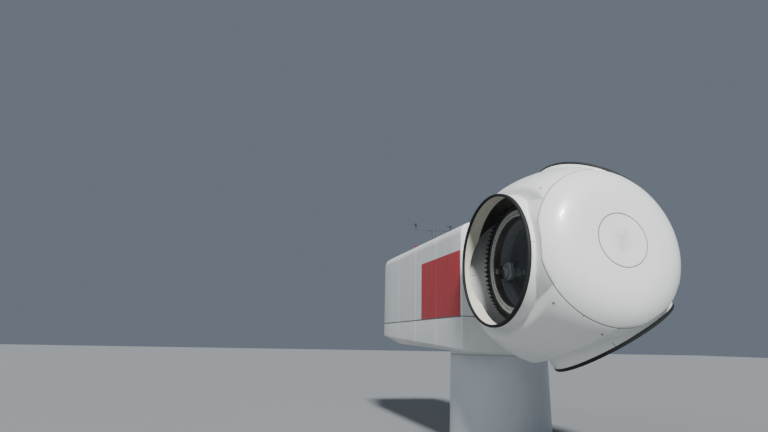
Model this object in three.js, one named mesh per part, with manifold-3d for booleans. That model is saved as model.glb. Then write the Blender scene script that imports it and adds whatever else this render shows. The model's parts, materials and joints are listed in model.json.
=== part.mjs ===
// Wind turbine nacelle on its tower top, with the hub, the spinner and three open blade ports.
// Millimetres, +Z up, +X towards the nose. The origin is on the tower axis, in the lower flange face.

import * as THREE from 'three';
import { mergeVertices } from 'three/addons/utils/BufferGeometryUtils.js';
import Module from 'manifold-3d';

const wasm = await Module();
wasm.setup();

// Fits
const SEAT_GAP = 0.3;
const BEARING_GAP = 0.5;
const SEAM_GAP = 0.6;

// Fineness of the curves
const FACETS = 36;
const FACET_ANGLE = 2 * Math.PI / FACETS;
const SMALL_FACETS = 12;
const DRIVE_FACETS = 24;
const ROOF_EDGE_STEPS = 6;
const BISECTIONS = 40;
const MERGE_DISTANCE = 0.01;

// Rotor placement
const HUB_X = 4155;
const HUB_Z = 5300;
const ROTOR_TILT = THREE.MathUtils.degToRad(6.95);
const BLADE_CONE = THREE.MathUtils.degToRad(3.04);
const PORT_ANGLES = [0, 120, 240].map((degrees) => THREE.MathUtils.degToRad(degrees));

// Tower top
const TOWER_TOP_Z = 2760;
const TOWER_TOP_RADIUS = 1606;
const TOWER_TAPER = 0.0198;
const TOWER_WALL = 30;
const FLANGE_HEIGHT = 110;
const FLANGE_WIDTH = 150;
const TOP_FLANGE_HEIGHT = 40;
const PLATFORM_THICKNESS = 25;

// Yaw bearing
const YAW_PLANE_Z = TOWER_TOP_Z + TOP_FLANGE_HEIGHT;
const YAW_RING_WIDTH = 260;
const YAW_RING_REACH = 400;

// Nacelle housing, with places along X measured from the tower axis
const NACELLE_HALF_WIDTH = 2050;
const NACELLE_FRONT_X = 1700;
const NACELLE_REAR_X = -7150;
const NACELLE_SEAM_Z = 3940;
const NACELLE_TOP_Z = 6900;
const ROOF_EDGE_RADIUS = 380;
const LOWER_STATIONS = [
  { x: NACELLE_REAR_X, side: 3400, bottom: 3395, bottomHalf: 1700 },
  { x: -5850, side: 3330, bottom: 3070, bottomHalf: 1700 },
  { x: 750, side: 2990, bottom: 2880, bottomHalf: 1900 },
  { x: NACELLE_FRONT_X, side: 2940, bottom: 2870, bottomHalf: 1920 },
];

// Nacelle front, with places along the rotor axis measured from the hub centre
const COWL_FACE = -2070;
const COWL_RADIUS = 1850;
const COWL_BORE = 1000;
const COWL_REACH = -3000;
const BEARING_FACE = -2260;
const BEARING_HOUSING_RADIUS = 960;

// Roof and rear fittings
const HATCH_SIZE = [1100, 800, 60];
const HATCH_X = -900;
const MAST_X = -6300;
const MAST_HEIGHT = 1500;
const MAST_RADIUS = 45;
const MAST_ARM = 900;
const MAST_ARM_HEIGHT = 1350;
const MAST_ARM_RADIUS = 25;
const SENSOR_HEIGHT = 260;
const SENSOR_RADIUS = 55;
const LIGHT_X = -5300;
const LIGHT_Y = 1150;
const LIGHT_HEIGHT = 420;
const LIGHT_RADIUS = 110;
const GRILLE_WIDTH = 2200;
const GRILLE_HEIGHT = 1300;
const GRILLE_DEPTH = 70;
const GRILLE_Z = 5450;

// Spinner body: a profile turned about the rotor axis, widest at its belly
const NOSE_X = 2515;
const BELLY_X = -200;
const BELLY_RADIUS = 2727;
const FRONT_LENGTH_POWER = 1.4;
const FRONT_RADIUS_POWER = 4.9;
const REAR_POLE_X = -2500;
const REAR_POWER = 2.6;
const SHELL_THICKNESS = 30;
const DOME_SEAM_X = 2040;
const SPINNER_REAR_X = -2000;
const HATCH_RADIUS = 675;

// Blade ports: a collar about each blade axis, with heights measured from the hub centre
const COLLAR_RADIUS = 1768;
const COLLAR_TOP = 2220;
const COLLAR_SEAM_ANGLE = THREE.MathUtils.degToRad(43.5);
const FILLET = 35;
const LIP_TOP = 2290;
const LIP_OUTER = 1776;
const LIP_INNER = 1690;

// Round each collar the body is cut down to a flat pad. On the side of the nose a neck, a cylinder with a
// rounded end about the rotor axis, stands over the pad, and a flat saddle cuts its top off.
const PAD_HEIGHT = 1840;
const PAD_EDGE = 80;
const NECK_RADIUS = 2150;
const NECK_CENTRE_X = 1300;
const NECK_EDGE = 20;
const SADDLE_HEIGHT = 2080;
const SADDLE_EDGE = 60;

// Hub casting and blade bearings
const HUB_SPHERE = 1700;
const HUB_WALL = 150;
const HUB_FLANGE_RADIUS = 1640;
const HUB_FLANGE_HEIGHT = 1300;
const HUB_FLANGE_THICKNESS = 200;
const HUB_CONE_RADIUS = 1340;
const HUB_CONE_HEIGHT = 500;
const HUB_BORE = 1200;
const HUB_FRONT_X = 1480;
const HUB_FRONT_OPENING = 560;
const HUB_NECK_RADIUS = 900;
const HUB_REAR_X = -1720;
const SHAFT_FLANGE = 120;
const SHAFT_RADIUS = 600;
const RACE_TOP = 1540;
const OUTER_RACE = [1440, 1620];
const INNER_RACE = [1220, 1425];
const BULKHEAD_PLATE = 35;

// Pitch drives: each stands through a lug inside its port, on the rear side, with heights as for the port
const DRIVE_OFFSET = 1130;
const DRIVE_RADIUS = 150;
const DRIVE_INNER_END = 450;
const DRIVE_FLANGE_RADIUS = 200;
const DRIVE_FLANGE_TOP = 1240;
const DRIVE_CLEARANCE = 5;
const PINION_RADIUS = 85;
const PINION_FOOT = 1310;
const PINION_TOP = 1500;
const DRIVE_SHAFT_RADIUS = 50;
const LUG_HEIGHTS = [1060, 1200];
const LUG_OFFSETS = [860, 1330];
const LUG_WIDTH = 520;

// Colours
const PAINT = { color: 0xd9dbd8, roughness: 0.45, metalness: 0 };
const GELCOAT = { color: 0xe2e4e1, roughness: 0.38, metalness: 0 };
const RUBBER = { color: 0x16181a, roughness: 0.85, metalness: 0 };
const CASTING = { color: 0x8d9296, roughness: 0.6, metalness: 0.1 };
const RACE_STEEL = { color: 0xb4b8b8, roughness: 0.4, metalness: 0.6 };
const DARK_METAL = { color: 0x3a3e42, roughness: 0.5, metalness: 0.5 };
const SIGNAL_RED = { color: 0xa3161c, roughness: 0.3, metalness: 0 };

// Meshes and solids

function mesh(name, geometry, finish) {
  const made = new THREE.Mesh(geometry, new THREE.MeshStandardMaterial(finish));
  made.name = name;
  return made;
}

function bare(geometry) {
  const copy = geometry.clone();
  copy.deleteAttribute('normal');
  copy.deleteAttribute('uv');
  return mergeVertices(copy, MERGE_DISTANCE);
}

function solid(geometry) {
  const merged = bare(geometry);
  return new wasm.Manifold(new wasm.Mesh({
    numProp: 3,
    vertProperties: new Float32Array(merged.attributes.position.array),
    triVerts: new Uint32Array(merged.index.array),
  }));
}

function geometryOf(body) {
  const made = body.getMesh();
  const geometry = new THREE.BufferGeometry();
  geometry.setAttribute('position', new THREE.BufferAttribute(new Float32Array(made.vertProperties), 3));
  geometry.setIndex(new THREE.BufferAttribute(new Uint32Array(made.triVerts), 1));
  geometry.computeVertexNormals();
  return geometry;
}

// A solid of revolution. The profile is a list of [radius, place along the axis].
function turned(profile, axis, facets = FACETS) {
  const points = profile.map(([radius, along]) => new THREE.Vector2(radius, along));
  const onAxis = points[0].x === 0 && points[points.length - 1].x === 0;
  if (THREE.ShapeUtils.area(points) < 0) points.reverse();
  if (!onAxis) points.push(points[0].clone());
  const geometry = new THREE.LatheGeometry(points, facets);
  if (axis === 'z') geometry.rotateX(Math.PI / 2);
  if (axis === 'x') geometry.rotateZ(-Math.PI / 2);
  return geometry;
}

// A ring with a rectangular section
function ring(inner, outer, from, to, axis, facets = FACETS) {
  return turned([[inner, from], [outer, from], [outer, to], [inner, to]], axis, facets);
}

// A round bar or disc
function disc(radius, from, to, axis, facets = FACETS) {
  return turned([[0, from], [radius, from], [radius, to], [0, to]], axis, facets);
}

function box(size, centre) {
  const geometry = new THREE.BoxGeometry(...size);
  geometry.translate(...centre);
  return geometry;
}

// A closed surface from rows of points, each row as long as the next. Columns close round when closedColumns
// is true, and otherwise the end columns have no width. Rows close round unless the end rows are capped.
function skin(rows, closedColumns, capped) {
  const columns = rows[0].length;
  const rowPairs = capped ? rows.length - 1 : rows.length;
  const columnPairs = closedColumns ? columns : columns - 1;
  const at = (row, column) => (row % rows.length) * columns + column % columns;
  const indices = [];
  for (let row = 0; row < rowPairs; row += 1) {
    for (let column = 0; column < columnPairs; column += 1) {
      indices.push(at(row, column), at(row, column + 1), at(row + 1, column + 1));
      indices.push(at(row, column), at(row + 1, column + 1), at(row + 1, column));
    }
  }
  for (let column = 1; capped && column < columns - 1; column += 1) {
    indices.push(0, column + 1, column);
    indices.push(at(rowPairs, 0), at(rowPairs, column), at(rowPairs, column + 1));
  }
  const geometry = new THREE.BufferGeometry();
  geometry.setAttribute('position', new THREE.Float32BufferAttribute(rows.flat(2), 3));
  geometry.setIndex(indices);
  return outward(geometry);
}

// Drops empty faces and turns the rest outwards
function outward(geometry) {
  const merged = mergeVertices(geometry, MERGE_DISTANCE);
  const index = merged.index.array;
  const kept = [];
  const at = (i) => new THREE.Vector3().fromBufferAttribute(merged.attributes.position, i);
  let volume = 0;
  for (let face = 0; face < index.length; face += 3) {
    const [a, b, c] = [index[face], index[face + 1], index[face + 2]];
    if (a !== b && b !== c && c !== a) {
      kept.push(a, b, c);
      volume += at(a).dot(at(b).cross(at(c)));
    }
  }
  if (volume < 0) kept.reverse();
  merged.setIndex(kept);
  merged.computeVertexNormals();
  return merged;
}

// Spinner surface: the distance from the hub centre in any direction

const NOSE_AXIS = new THREE.Vector3(1, 0, 0);

function portAxis(angle) {
  return new THREE.Vector3(
    Math.sin(BLADE_CONE),
    -Math.cos(BLADE_CONE) * Math.cos(angle),
    Math.cos(BLADE_CONE) * Math.sin(angle),
  );
}

const PORT_AXES = PORT_ANGLES.map(portAxis);

// The body's radius at a place along the rotor axis
function bodyRadius(x) {
  if (x > BELLY_X) {
    const share = Math.min((x - BELLY_X) / (NOSE_X - BELLY_X), 1);
    return BELLY_RADIUS * (1 - share ** FRONT_LENGTH_POWER) ** (1 / FRONT_RADIUS_POWER);
  }
  const share = Math.min((BELLY_X - x) / (BELLY_X - REAR_POLE_X), 1);
  return BELLY_RADIUS * (1 - share ** REAR_POWER) ** (1 / REAR_POWER);
}

function bodyReach(direction) {
  const across = Math.hypot(direction.y, direction.z);
  let inner = 0;
  let outer = 2 * BELLY_RADIUS;
  for (let step = 0; step < BISECTIONS; step += 1) {
    const middle = (inner + outer) / 2;
    const x = middle * direction.x;
    if (x < NOSE_X && x > REAR_POLE_X && middle * across < bodyRadius(x)) inner = middle;
    else outer = middle;
  }
  return inner;
}

function neckReach(direction) {
  const reach = NECK_RADIUS / Math.max(Math.hypot(direction.y, direction.z), Number.EPSILON);
  if (reach * direction.x < NECK_CENTRE_X) return reach;
  const along = NECK_CENTRE_X * direction.x;
  return along + Math.sqrt(along ** 2 + NECK_RADIUS ** 2 - NECK_CENTRE_X ** 2);
}

// The larger of two numbers, rounded over within width of where they meet
function smoothMax(a, b, width) {
  if (width === 0) return Math.max(a, b);
  const share = THREE.MathUtils.clamp(0.5 + 0.5 * (a - b) / width, 0, 1);
  return b * (1 - share) + a * share + width * share * (1 - share);
}

function smoothMin(a, b, width) {
  return -smoothMax(-a, -b, width);
}

function spinnerReach(direction) {
  let reach = bodyReach(direction);
  for (const axis of PORT_AXES) {
    const along = direction.dot(axis);
    if (along > 0) {
      const pad = smoothMin(reach, PAD_HEIGHT / along, PAD_EDGE);
      const saddle = smoothMin(neckReach(direction), SADDLE_HEIGHT / along, SADDLE_EDGE);
      reach = Math.max(pad, smoothMin(reach, saddle, NECK_EDGE));
      const across = Math.sqrt(Math.max(1 - along * along, Number.EPSILON));
      const height = COLLAR_RADIUS * along / across;
      const width = FILLET * THREE.MathUtils.clamp((COLLAR_TOP - height) / FILLET, 0, 1);
      reach = smoothMax(reach, COLLAR_RADIUS / across, width);
    }
  }
  return reach;
}

function skinPoint(direction, depth) {
  return direction.clone().multiplyScalar(spinnerReach(direction) - depth).toArray();
}

// Directions: polar about the nose axis, and polar about a port's axis

function noseDirection(polar, angle) {
  return new THREE.Vector3(
    Math.cos(polar),
    -Math.sin(polar) * Math.cos(angle),
    Math.sin(polar) * Math.sin(angle),
  );
}

function portFrame(port) {
  const axis = PORT_AXES[port];
  const towardsNose = NOSE_AXIS.clone().addScaledVector(axis, -NOSE_AXIS.dot(axis)).normalize();
  const sideways = new THREE.Vector3().crossVectors(axis, towardsNose);
  return { axis, towardsNose, sideways };
}

function portDirection(frame, polar, turn) {
  return frame.axis.clone().multiplyScalar(Math.cos(polar))
    .addScaledVector(frame.towardsNose, Math.sin(polar) * Math.cos(turn))
    .addScaledVector(frame.sideways, Math.sin(polar) * Math.sin(turn));
}

function polarIn(frame, direction) {
  return {
    polar: Math.acos(THREE.MathUtils.clamp(direction.dot(frame.axis), -1, 1)),
    turn: Math.atan2(direction.dot(frame.sideways), direction.dot(frame.towardsNose)),
  };
}

const SEAM_GAP_ANGLE = SEAM_GAP / BELLY_RADIUS;
const SEAM_POLAR = Math.atan2(bodyRadius(DOME_SEAM_X), DOME_SEAM_X);
const REAR_RADIUS = bodyRadius(SPINNER_REAR_X);
const REAR_POLAR = Math.atan2(REAR_RADIUS, SPINNER_REAR_X);
const HATCH_POLAR = Math.atan2(HATCH_RADIUS, NOSE_X);
const SECTOR_HALF = Math.PI / 3;

// The angle round the nose at which the dome's seam circle runs into a port's collar
function seamTip() {
  const frame = portFrame(0);
  let low = 0;
  let high = SECTOR_HALF;
  for (let step = 0; step < BISECTIONS; step += 1) {
    const middle = (low + high) / 2;
    const found = polarIn(frame, noseDirection(SEAM_POLAR + SEAM_GAP_ANGLE, middle));
    if (found.polar < COLLAR_SEAM_ANGLE + SEAM_GAP_ANGLE) low = middle;
    else high = middle;
  }
  return high;
}

const TIP_ANGLE = seamTip();
const SIDE_STEPS = 6;
const NOSE_STEPS = 6;
const SEGMENT_ROWS = 6;
const COLLAR_ROWS = 3;
const DOME_ROWS = 7;
const HATCH_ROWS = 2;
const PATCH_HALF = SECTOR_HALF - SEAM_GAP_ANGLE;
const CLOSEST_ANGLE = 0.02;

// The outer edge of one spinner segment, from one seam tip round the rear to the other
function segmentEdge(port) {
  const frame = portFrame(port);
  const centre = PORT_ANGLES[port];
  const seam = SEAM_POLAR + SEAM_GAP_ANGLE;
  const rear = REAR_POLAR - SEAM_GAP_ANGLE;
  const half = [noseDirection(seam, centre + TIP_ANGLE)];
  for (let angle = FACET_ANGLE; angle < PATCH_HALF; angle += FACET_ANGLE) {
    if (angle > TIP_ANGLE + CLOSEST_ANGLE) half.push(noseDirection(seam, centre + angle));
  }
  for (let step = 0; step <= SIDE_STEPS; step += 1) {
    const polar = seam + (rear - seam) * step / SIDE_STEPS;
    half.push(noseDirection(polar, centre + PATCH_HALF));
  }
  for (let angle = SECTOR_HALF - FACET_ANGLE; angle > FACET_ANGLE / 2; angle -= FACET_ANGLE) {
    half.push(noseDirection(rear, centre + angle));
  }
  const mirrored = half.map((direction) => mirror(direction, centre)).reverse();
  const loop = [...half, noseDirection(rear, centre), ...mirrored];
  return loop.map((direction) => polarIn(frame, direction));
}

// A direction mirrored in the plane through the rotor axis at the given angle
function mirror(direction, angle) {
  const across = new THREE.Vector3(0, Math.sin(angle), Math.cos(angle));
  return direction.clone().addScaledVector(across, -2 * direction.dot(across));
}

// The turns about a port's axis at which the collar, the dome and the segment share their corners
function noseTurns() {
  const tip = Math.abs(segmentEdge(0)[0].turn);
  const turns = [];
  for (let step = 1; step < NOSE_STEPS; step += 1) turns.push(-tip + 2 * tip * step / NOSE_STEPS);
  return turns;
}

// Rows of points over a piece of the spinner, out along its outer face and back along its inner one.
// Each column runs from one direction to another, and directionAt gives the direction at a share of the way.
function shellRows(columns, directionAt, rows) {
  const outer = [];
  const inner = [];
  for (let row = 0; row <= rows; row += 1) {
    const directions = columns.map((column) => directionAt(column, row / rows));
    outer.push(directions.map((direction) => skinPoint(direction, 0)));
    inner.push(directions.map((direction) => skinPoint(direction, SHELL_THICKNESS)));
  }
  return [...outer, ...inner.reverse()];
}

function portRows(columns, port, rows) {
  const frame = portFrame(port);
  const directionAt = ({ turn, from, to }, share) => portDirection(frame, from + (to - from) * share, turn);
  return shellRows(columns, directionAt, rows);
}

function segmentGeometry(port) {
  const from = COLLAR_SEAM_ANGLE + SEAM_GAP_ANGLE;
  const columns = segmentEdge(port).map(({ polar, turn }) => ({ turn, from, to: Math.max(polar, from) }));
  return skin(portRows(columns, port, SEGMENT_ROWS), false, false);
}

function collarGeometry(port) {
  const from = Math.atan2(COLLAR_RADIUS, COLLAR_TOP);
  const edge = segmentEdge(port).map(({ turn }) => turn);
  const turns = [...edge, ...noseTurns()].sort((a, b) => a - b);
  const columns = turns.map((turn) => ({ turn, from, to: COLLAR_SEAM_ANGLE }));
  return skin(portRows(columns, port, COLLAR_ROWS), true, false);
}

// The dome's outline: its reach from the nose axis at each angle round it
function domeEdge() {
  const edge = [];
  const limit = COLLAR_SEAM_ANGLE + SEAM_GAP_ANGLE;
  PORT_ANGLES.forEach((centre, port) => {
    const frame = portFrame(port);
    for (const turn of noseTurns().sort((a, b) => a - b)) {
      edge.push(portDirection(frame, limit, turn));
    }
    for (let angle = -SECTOR_HALF + FACET_ANGLE; angle <= SECTOR_HALF + CLOSEST_ANGLE; angle += FACET_ANGLE) {
      if (Math.abs(angle) > TIP_ANGLE + CLOSEST_ANGLE) edge.push(noseDirection(SEAM_POLAR, centre + angle));
    }
    edge.push(noseDirection(SEAM_POLAR, centre + TIP_ANGLE));
    edge.push(noseDirection(SEAM_POLAR, centre - TIP_ANGLE));
  });
  return edge.map((direction) => ({
    angle: Math.atan2(direction.z, -direction.y),
    polar: Math.acos(direction.x),
  })).sort((a, b) => a.angle - b.angle);
}

function noseRows(fromPolar, toPolar, rows) {
  const directionAt = (place, share) => {
    const from = fromPolar(place);
    return noseDirection(from + (toPolar(place) - from) * share, place.angle);
  };
  return shellRows(domeEdge(), directionAt, rows);
}

function noseDome() {
  return skin(noseRows(() => HATCH_POLAR, ({ polar }) => polar, DOME_ROWS), true, false);
}

function noseHatch() {
  return skin(noseRows(() => 0, () => HATCH_POLAR - SEAM_GAP_ANGLE, HATCH_ROWS), true, false);
}

// Tower top

const tower = new THREE.Group();
const flangeRadius = TOWER_TOP_RADIUS + TOWER_TAPER * TOWER_TOP_Z;
const shellFoot = FLANGE_HEIGHT + SEAT_GAP;
const shellHead = TOWER_TOP_Z - SEAT_GAP;
const footRadius = flangeRadius - TOWER_TAPER * shellFoot;
tower.add(mesh('tower_flange_platform', turned([
  [0, 0],
  [flangeRadius, 0],
  [footRadius, FLANGE_HEIGHT],
  [flangeRadius - FLANGE_WIDTH, FLANGE_HEIGHT],
  [flangeRadius - FLANGE_WIDTH, PLATFORM_THICKNESS],
  [0, PLATFORM_THICKNESS],
], 'z'), PAINT));
tower.add(mesh('tower_shell', turned([
  [footRadius - TOWER_WALL, shellFoot],
  [footRadius, shellFoot],
  [TOWER_TOP_RADIUS, shellHead],
  [TOWER_TOP_RADIUS - TOWER_WALL, shellHead],
], 'z'), PAINT));
tower.add(mesh('tower_top_flange', ring(
  TOWER_TOP_RADIUS - YAW_RING_WIDTH, TOWER_TOP_RADIUS, TOWER_TOP_Z, YAW_PLANE_Z, 'z',
), RACE_STEEL));

// Nacelle

const nacelle = new THREE.Group();

function lowerHousing(drop) {
  const rows = LOWER_STATIONS.map(({ x, side, bottom, bottomHalf }) => [
    [x, -NACELLE_HALF_WIDTH, NACELLE_SEAM_Z],
    [x, NACELLE_HALF_WIDTH, NACELLE_SEAM_Z],
    [x, NACELLE_HALF_WIDTH, side - drop],
    [x, bottomHalf, bottom - drop],
    [x, -bottomHalf, bottom - drop],
    [x, -NACELLE_HALF_WIDTH, side - drop],
  ]);
  return skin(rows, true, true);
}

function upperHousing() {
  const base = NACELLE_SEAM_Z + SEAT_GAP;
  const shape = new THREE.Shape();
  const straight = NACELLE_HALF_WIDTH - ROOF_EDGE_RADIUS;
  const shoulder = NACELLE_TOP_Z - ROOF_EDGE_RADIUS;
  shape.moveTo(-NACELLE_HALF_WIDTH, base);
  shape.lineTo(NACELLE_HALF_WIDTH, base);
  shape.lineTo(NACELLE_HALF_WIDTH, shoulder);
  shape.absarc(straight, shoulder, ROOF_EDGE_RADIUS, 0, Math.PI / 2, false);
  shape.absarc(-straight, shoulder, ROOF_EDGE_RADIUS, Math.PI / 2, Math.PI, false);
  const length = NACELLE_FRONT_X - NACELLE_REAR_X;
  const geometry = new THREE.ExtrudeGeometry(shape, {
    depth: length,
    bevelEnabled: false,
    curveSegments: ROOF_EDGE_STEPS,
  });
  geometry.rotateX(Math.PI / 2);
  geometry.rotateZ(Math.PI / 2);
  geometry.translate(NACELLE_REAR_X, 0, 0);
  return geometry;
}

nacelle.add(mesh('nacelle_lower_housing', lowerHousing(0), PAINT));
nacelle.add(mesh('nacelle_upper_housing', upperHousing(), PAINT));

const yawBore = TOWER_TOP_RADIUS - YAW_RING_WIDTH;
const yawHead = YAW_PLANE_Z + YAW_RING_REACH;
const yawBlank = solid(ring(yawBore, TOWER_TOP_RADIUS, YAW_PLANE_Z + BEARING_GAP, yawHead, 'z'));
nacelle.add(mesh('yaw_ring', geometryOf(yawBlank.subtract(solid(lowerHousing(SEAT_GAP)))), PAINT));

// Parts about the rotor axis that join the nacelle's front wall
const frontBlock = solid(box(
  [2 * COWL_RADIUS, 4 * COWL_RADIUS, 4 * COWL_RADIUS],
  [NACELLE_FRONT_X + SEAT_GAP - COWL_RADIUS, 0, HUB_Z],
));

function onRotorAxis(geometry) {
  return geometry.clone().rotateY(-ROTOR_TILT).translate(HUB_X, 0, HUB_Z);
}

function againstFrontWall(geometry) {
  return geometryOf(solid(onRotorAxis(geometry)).subtract(frontBlock));
}

nacelle.add(mesh('nacelle_front_cowl', againstFrontWall(
  ring(COWL_BORE, COWL_RADIUS, COWL_REACH, COWL_FACE, 'x'),
), PAINT));
nacelle.add(mesh('main_bearing_housing', againstFrontWall(
  disc(BEARING_HOUSING_RADIUS, COWL_REACH, BEARING_FACE - BEARING_GAP, 'x'),
), CASTING));

nacelle.add(mesh('roof_hatch', box(
  HATCH_SIZE, [HATCH_X, 0, NACELLE_TOP_Z + SEAT_GAP + HATCH_SIZE[2] / 2],
), GELCOAT));

const roofSeat = NACELLE_TOP_Z + SEAT_GAP;
const armHeight = roofSeat + MAST_ARM_HEIGHT;
const post = disc(MAST_RADIUS, roofSeat, roofSeat + MAST_HEIGHT, 'z', SMALL_FACETS).translate(MAST_X, 0, 0);
const armBar = new THREE.CylinderGeometry(MAST_ARM_RADIUS, MAST_ARM_RADIUS, 2 * MAST_ARM, SMALL_FACETS);
armBar.translate(MAST_X, 0, armHeight);
nacelle.add(mesh('sensor_mast', geometryOf(solid(post).add(solid(armBar))), DARK_METAL));
const sensorFoot = armHeight + MAST_ARM_RADIUS + SEAT_GAP;
[['wind_vane', -1], ['wind_speed_sensor', 1]].forEach(([name, side]) => {
  const sensor = disc(SENSOR_RADIUS, sensorFoot, sensorFoot + SENSOR_HEIGHT, 'z', SMALL_FACETS);
  sensor.translate(MAST_X, side * (MAST_ARM - SENSOR_RADIUS), 0);
  nacelle.add(mesh(name, sensor, DARK_METAL));
});
[1, -1].forEach((side, number) => {
  const lamp = disc(LIGHT_RADIUS, roofSeat, roofSeat + LIGHT_HEIGHT, 'z', SMALL_FACETS);
  lamp.translate(LIGHT_X, side * LIGHT_Y, 0);
  nacelle.add(mesh(`obstruction_light_${number + 1}`, lamp, SIGNAL_RED));
});
nacelle.add(mesh('rear_grille', box(
  [GRILLE_DEPTH, GRILLE_WIDTH, GRILLE_HEIGHT],
  [NACELLE_REAR_X - SEAT_GAP - GRILLE_DEPTH / 2, 0, GRILLE_Z],
), DARK_METAL));

// Rotor, in its own frame: +X along the rotor axis from the hub centre to the nose

const rotor = new THREE.Group();
rotor.position.set(HUB_X, 0, HUB_Z);
rotor.rotation.y = -ROTOR_TILT;

// A geometry turned about +X is moved to a port's axis
function ontoPort(geometry, port) {
  const { axis, towardsNose, sideways } = portFrame(port);
  const basis = new THREE.Matrix4().makeBasis(axis, towardsNose, sideways);
  return geometry.clone().applyMatrix4(basis);
}

// A disc about a line beside a port's axis, on the rear side, where the port's pitch drive stands
function drivePart(radius, from, to) {
  return disc(radius, from, to, 'x', DRIVE_FACETS).translate(0, -DRIVE_OFFSET, 0);
}

function hubOutside() {
  let outside = solid(new THREE.SphereGeometry(HUB_SPHERE, 24, 16).rotateZ(Math.PI / 2));
  for (const port of PORT_AXES.keys()) {
    const above = disc(2 * HUB_SPHERE, HUB_FLANGE_HEIGHT, 2 * HUB_SPHERE, 'x');
    outside = outside.subtract(solid(ontoPort(above, port)));
  }
  for (const port of PORT_AXES.keys()) {
    const flange = turned([
      [0, 0],
      [HUB_CONE_RADIUS, HUB_CONE_HEIGHT],
      [HUB_FLANGE_RADIUS, HUB_FLANGE_HEIGHT - HUB_FLANGE_THICKNESS],
      [HUB_FLANGE_RADIUS, HUB_FLANGE_HEIGHT],
      [0, HUB_FLANGE_HEIGHT],
    ], 'x');
    outside = outside.add(solid(ontoPort(flange, port)));
  }
  outside = outside.add(solid(disc(HUB_NECK_RADIUS, HUB_REAR_X, 0, 'x')));
  return outside.subtract(solid(disc(HUB_SPHERE, HUB_FRONT_X, 2 * HUB_SPHERE, 'x')));
}

function hubInside() {
  let inside = solid(new THREE.SphereGeometry(HUB_SPHERE - HUB_WALL, 24, 16).rotateZ(Math.PI / 2));
  for (const port of PORT_AXES.keys()) {
    inside = inside.add(solid(ontoPort(disc(HUB_BORE, 0, 2 * HUB_SPHERE, 'x'), port)));
  }
  inside = inside.add(solid(disc(HUB_FRONT_OPENING, 0, 2 * HUB_SPHERE, 'x')));
  return inside.intersect(solid(disc(2 * HUB_SPHERE, HUB_WALL - HUB_SPHERE, 2 * HUB_SPHERE, 'x')));
}

// The casting, with a lug for each pitch drive and the pocket that the drive stands in
function hubCasting() {
  let casting = hubOutside().subtract(hubInside());
  const [lugFoot, lugTop] = LUG_HEIGHTS;
  const [lugNear, lugFar] = LUG_OFFSETS;
  for (const port of PORT_AXES.keys()) {
    const lug = box(
      [lugTop - lugFoot, lugFar - lugNear, LUG_WIDTH],
      [(lugTop + lugFoot) / 2, -(lugFar + lugNear) / 2, 0],
    );
    const pocket = drivePart(DRIVE_RADIUS + DRIVE_CLEARANCE, DRIVE_INNER_END - HUB_WALL, RACE_TOP);
    const seat = drivePart(DRIVE_FLANGE_RADIUS + DRIVE_CLEARANCE, lugTop, RACE_TOP);
    casting = casting.add(solid(ontoPort(lug, port)));
    casting = casting.subtract(solid(ontoPort(pocket, port)));
    casting = casting.subtract(solid(ontoPort(seat, port)));
  }
  return geometryOf(casting);
}

// A pitch drive: its body below the lug, its flange on the lug, and the pinion beside the moving race
function pitchDrive(port) {
  const flangeFoot = LUG_HEIGHTS[1] + SEAT_GAP;
  const drive = turned([
    [0, DRIVE_INNER_END],
    [DRIVE_RADIUS, DRIVE_INNER_END],
    [DRIVE_RADIUS, flangeFoot],
    [DRIVE_FLANGE_RADIUS, flangeFoot],
    [DRIVE_FLANGE_RADIUS, DRIVE_FLANGE_TOP],
    [DRIVE_SHAFT_RADIUS, DRIVE_FLANGE_TOP],
    [DRIVE_SHAFT_RADIUS, PINION_FOOT],
    [PINION_RADIUS, PINION_FOOT],
    [PINION_RADIUS, PINION_TOP],
    [0, PINION_TOP],
  ], 'x', DRIVE_FACETS);
  return ontoPort(drive.translate(0, -DRIVE_OFFSET, 0), port);
}

rotor.add(mesh('hub_casting', hubCasting(), CASTING));
rotor.add(mesh('main_shaft', turned([
  [0, HUB_REAR_X - SEAT_GAP],
  [HUB_NECK_RADIUS, HUB_REAR_X - SEAT_GAP],
  [HUB_NECK_RADIUS, HUB_REAR_X - SHAFT_FLANGE],
  [SHAFT_RADIUS, HUB_REAR_X - SHAFT_FLANGE],
  [SHAFT_RADIUS, BEARING_FACE],
  [0, BEARING_FACE],
], 'x'), RACE_STEEL));

const rimScale = 1 - SHELL_THICKNESS / Math.hypot(SPINNER_REAR_X, REAR_RADIUS);
rotor.add(mesh('spinner_rear_bulkhead', turned([
  [REAR_RADIUS * rimScale, SPINNER_REAR_X * rimScale - BEARING_GAP],
  [REAR_RADIUS, SPINNER_REAR_X - BEARING_GAP],
  [REAR_RADIUS, SPINNER_REAR_X - BULKHEAD_PLATE],
  [HUB_NECK_RADIUS + BEARING_GAP, HUB_REAR_X],
  [HUB_NECK_RADIUS + BEARING_GAP, HUB_REAR_X + BULKHEAD_PLATE],
], 'x'), GELCOAT));
rotor.add(mesh('spinner_nose_dome', noseDome(), GELCOAT));
rotor.add(mesh('nose_hatch', noseHatch(), GELCOAT));

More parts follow.
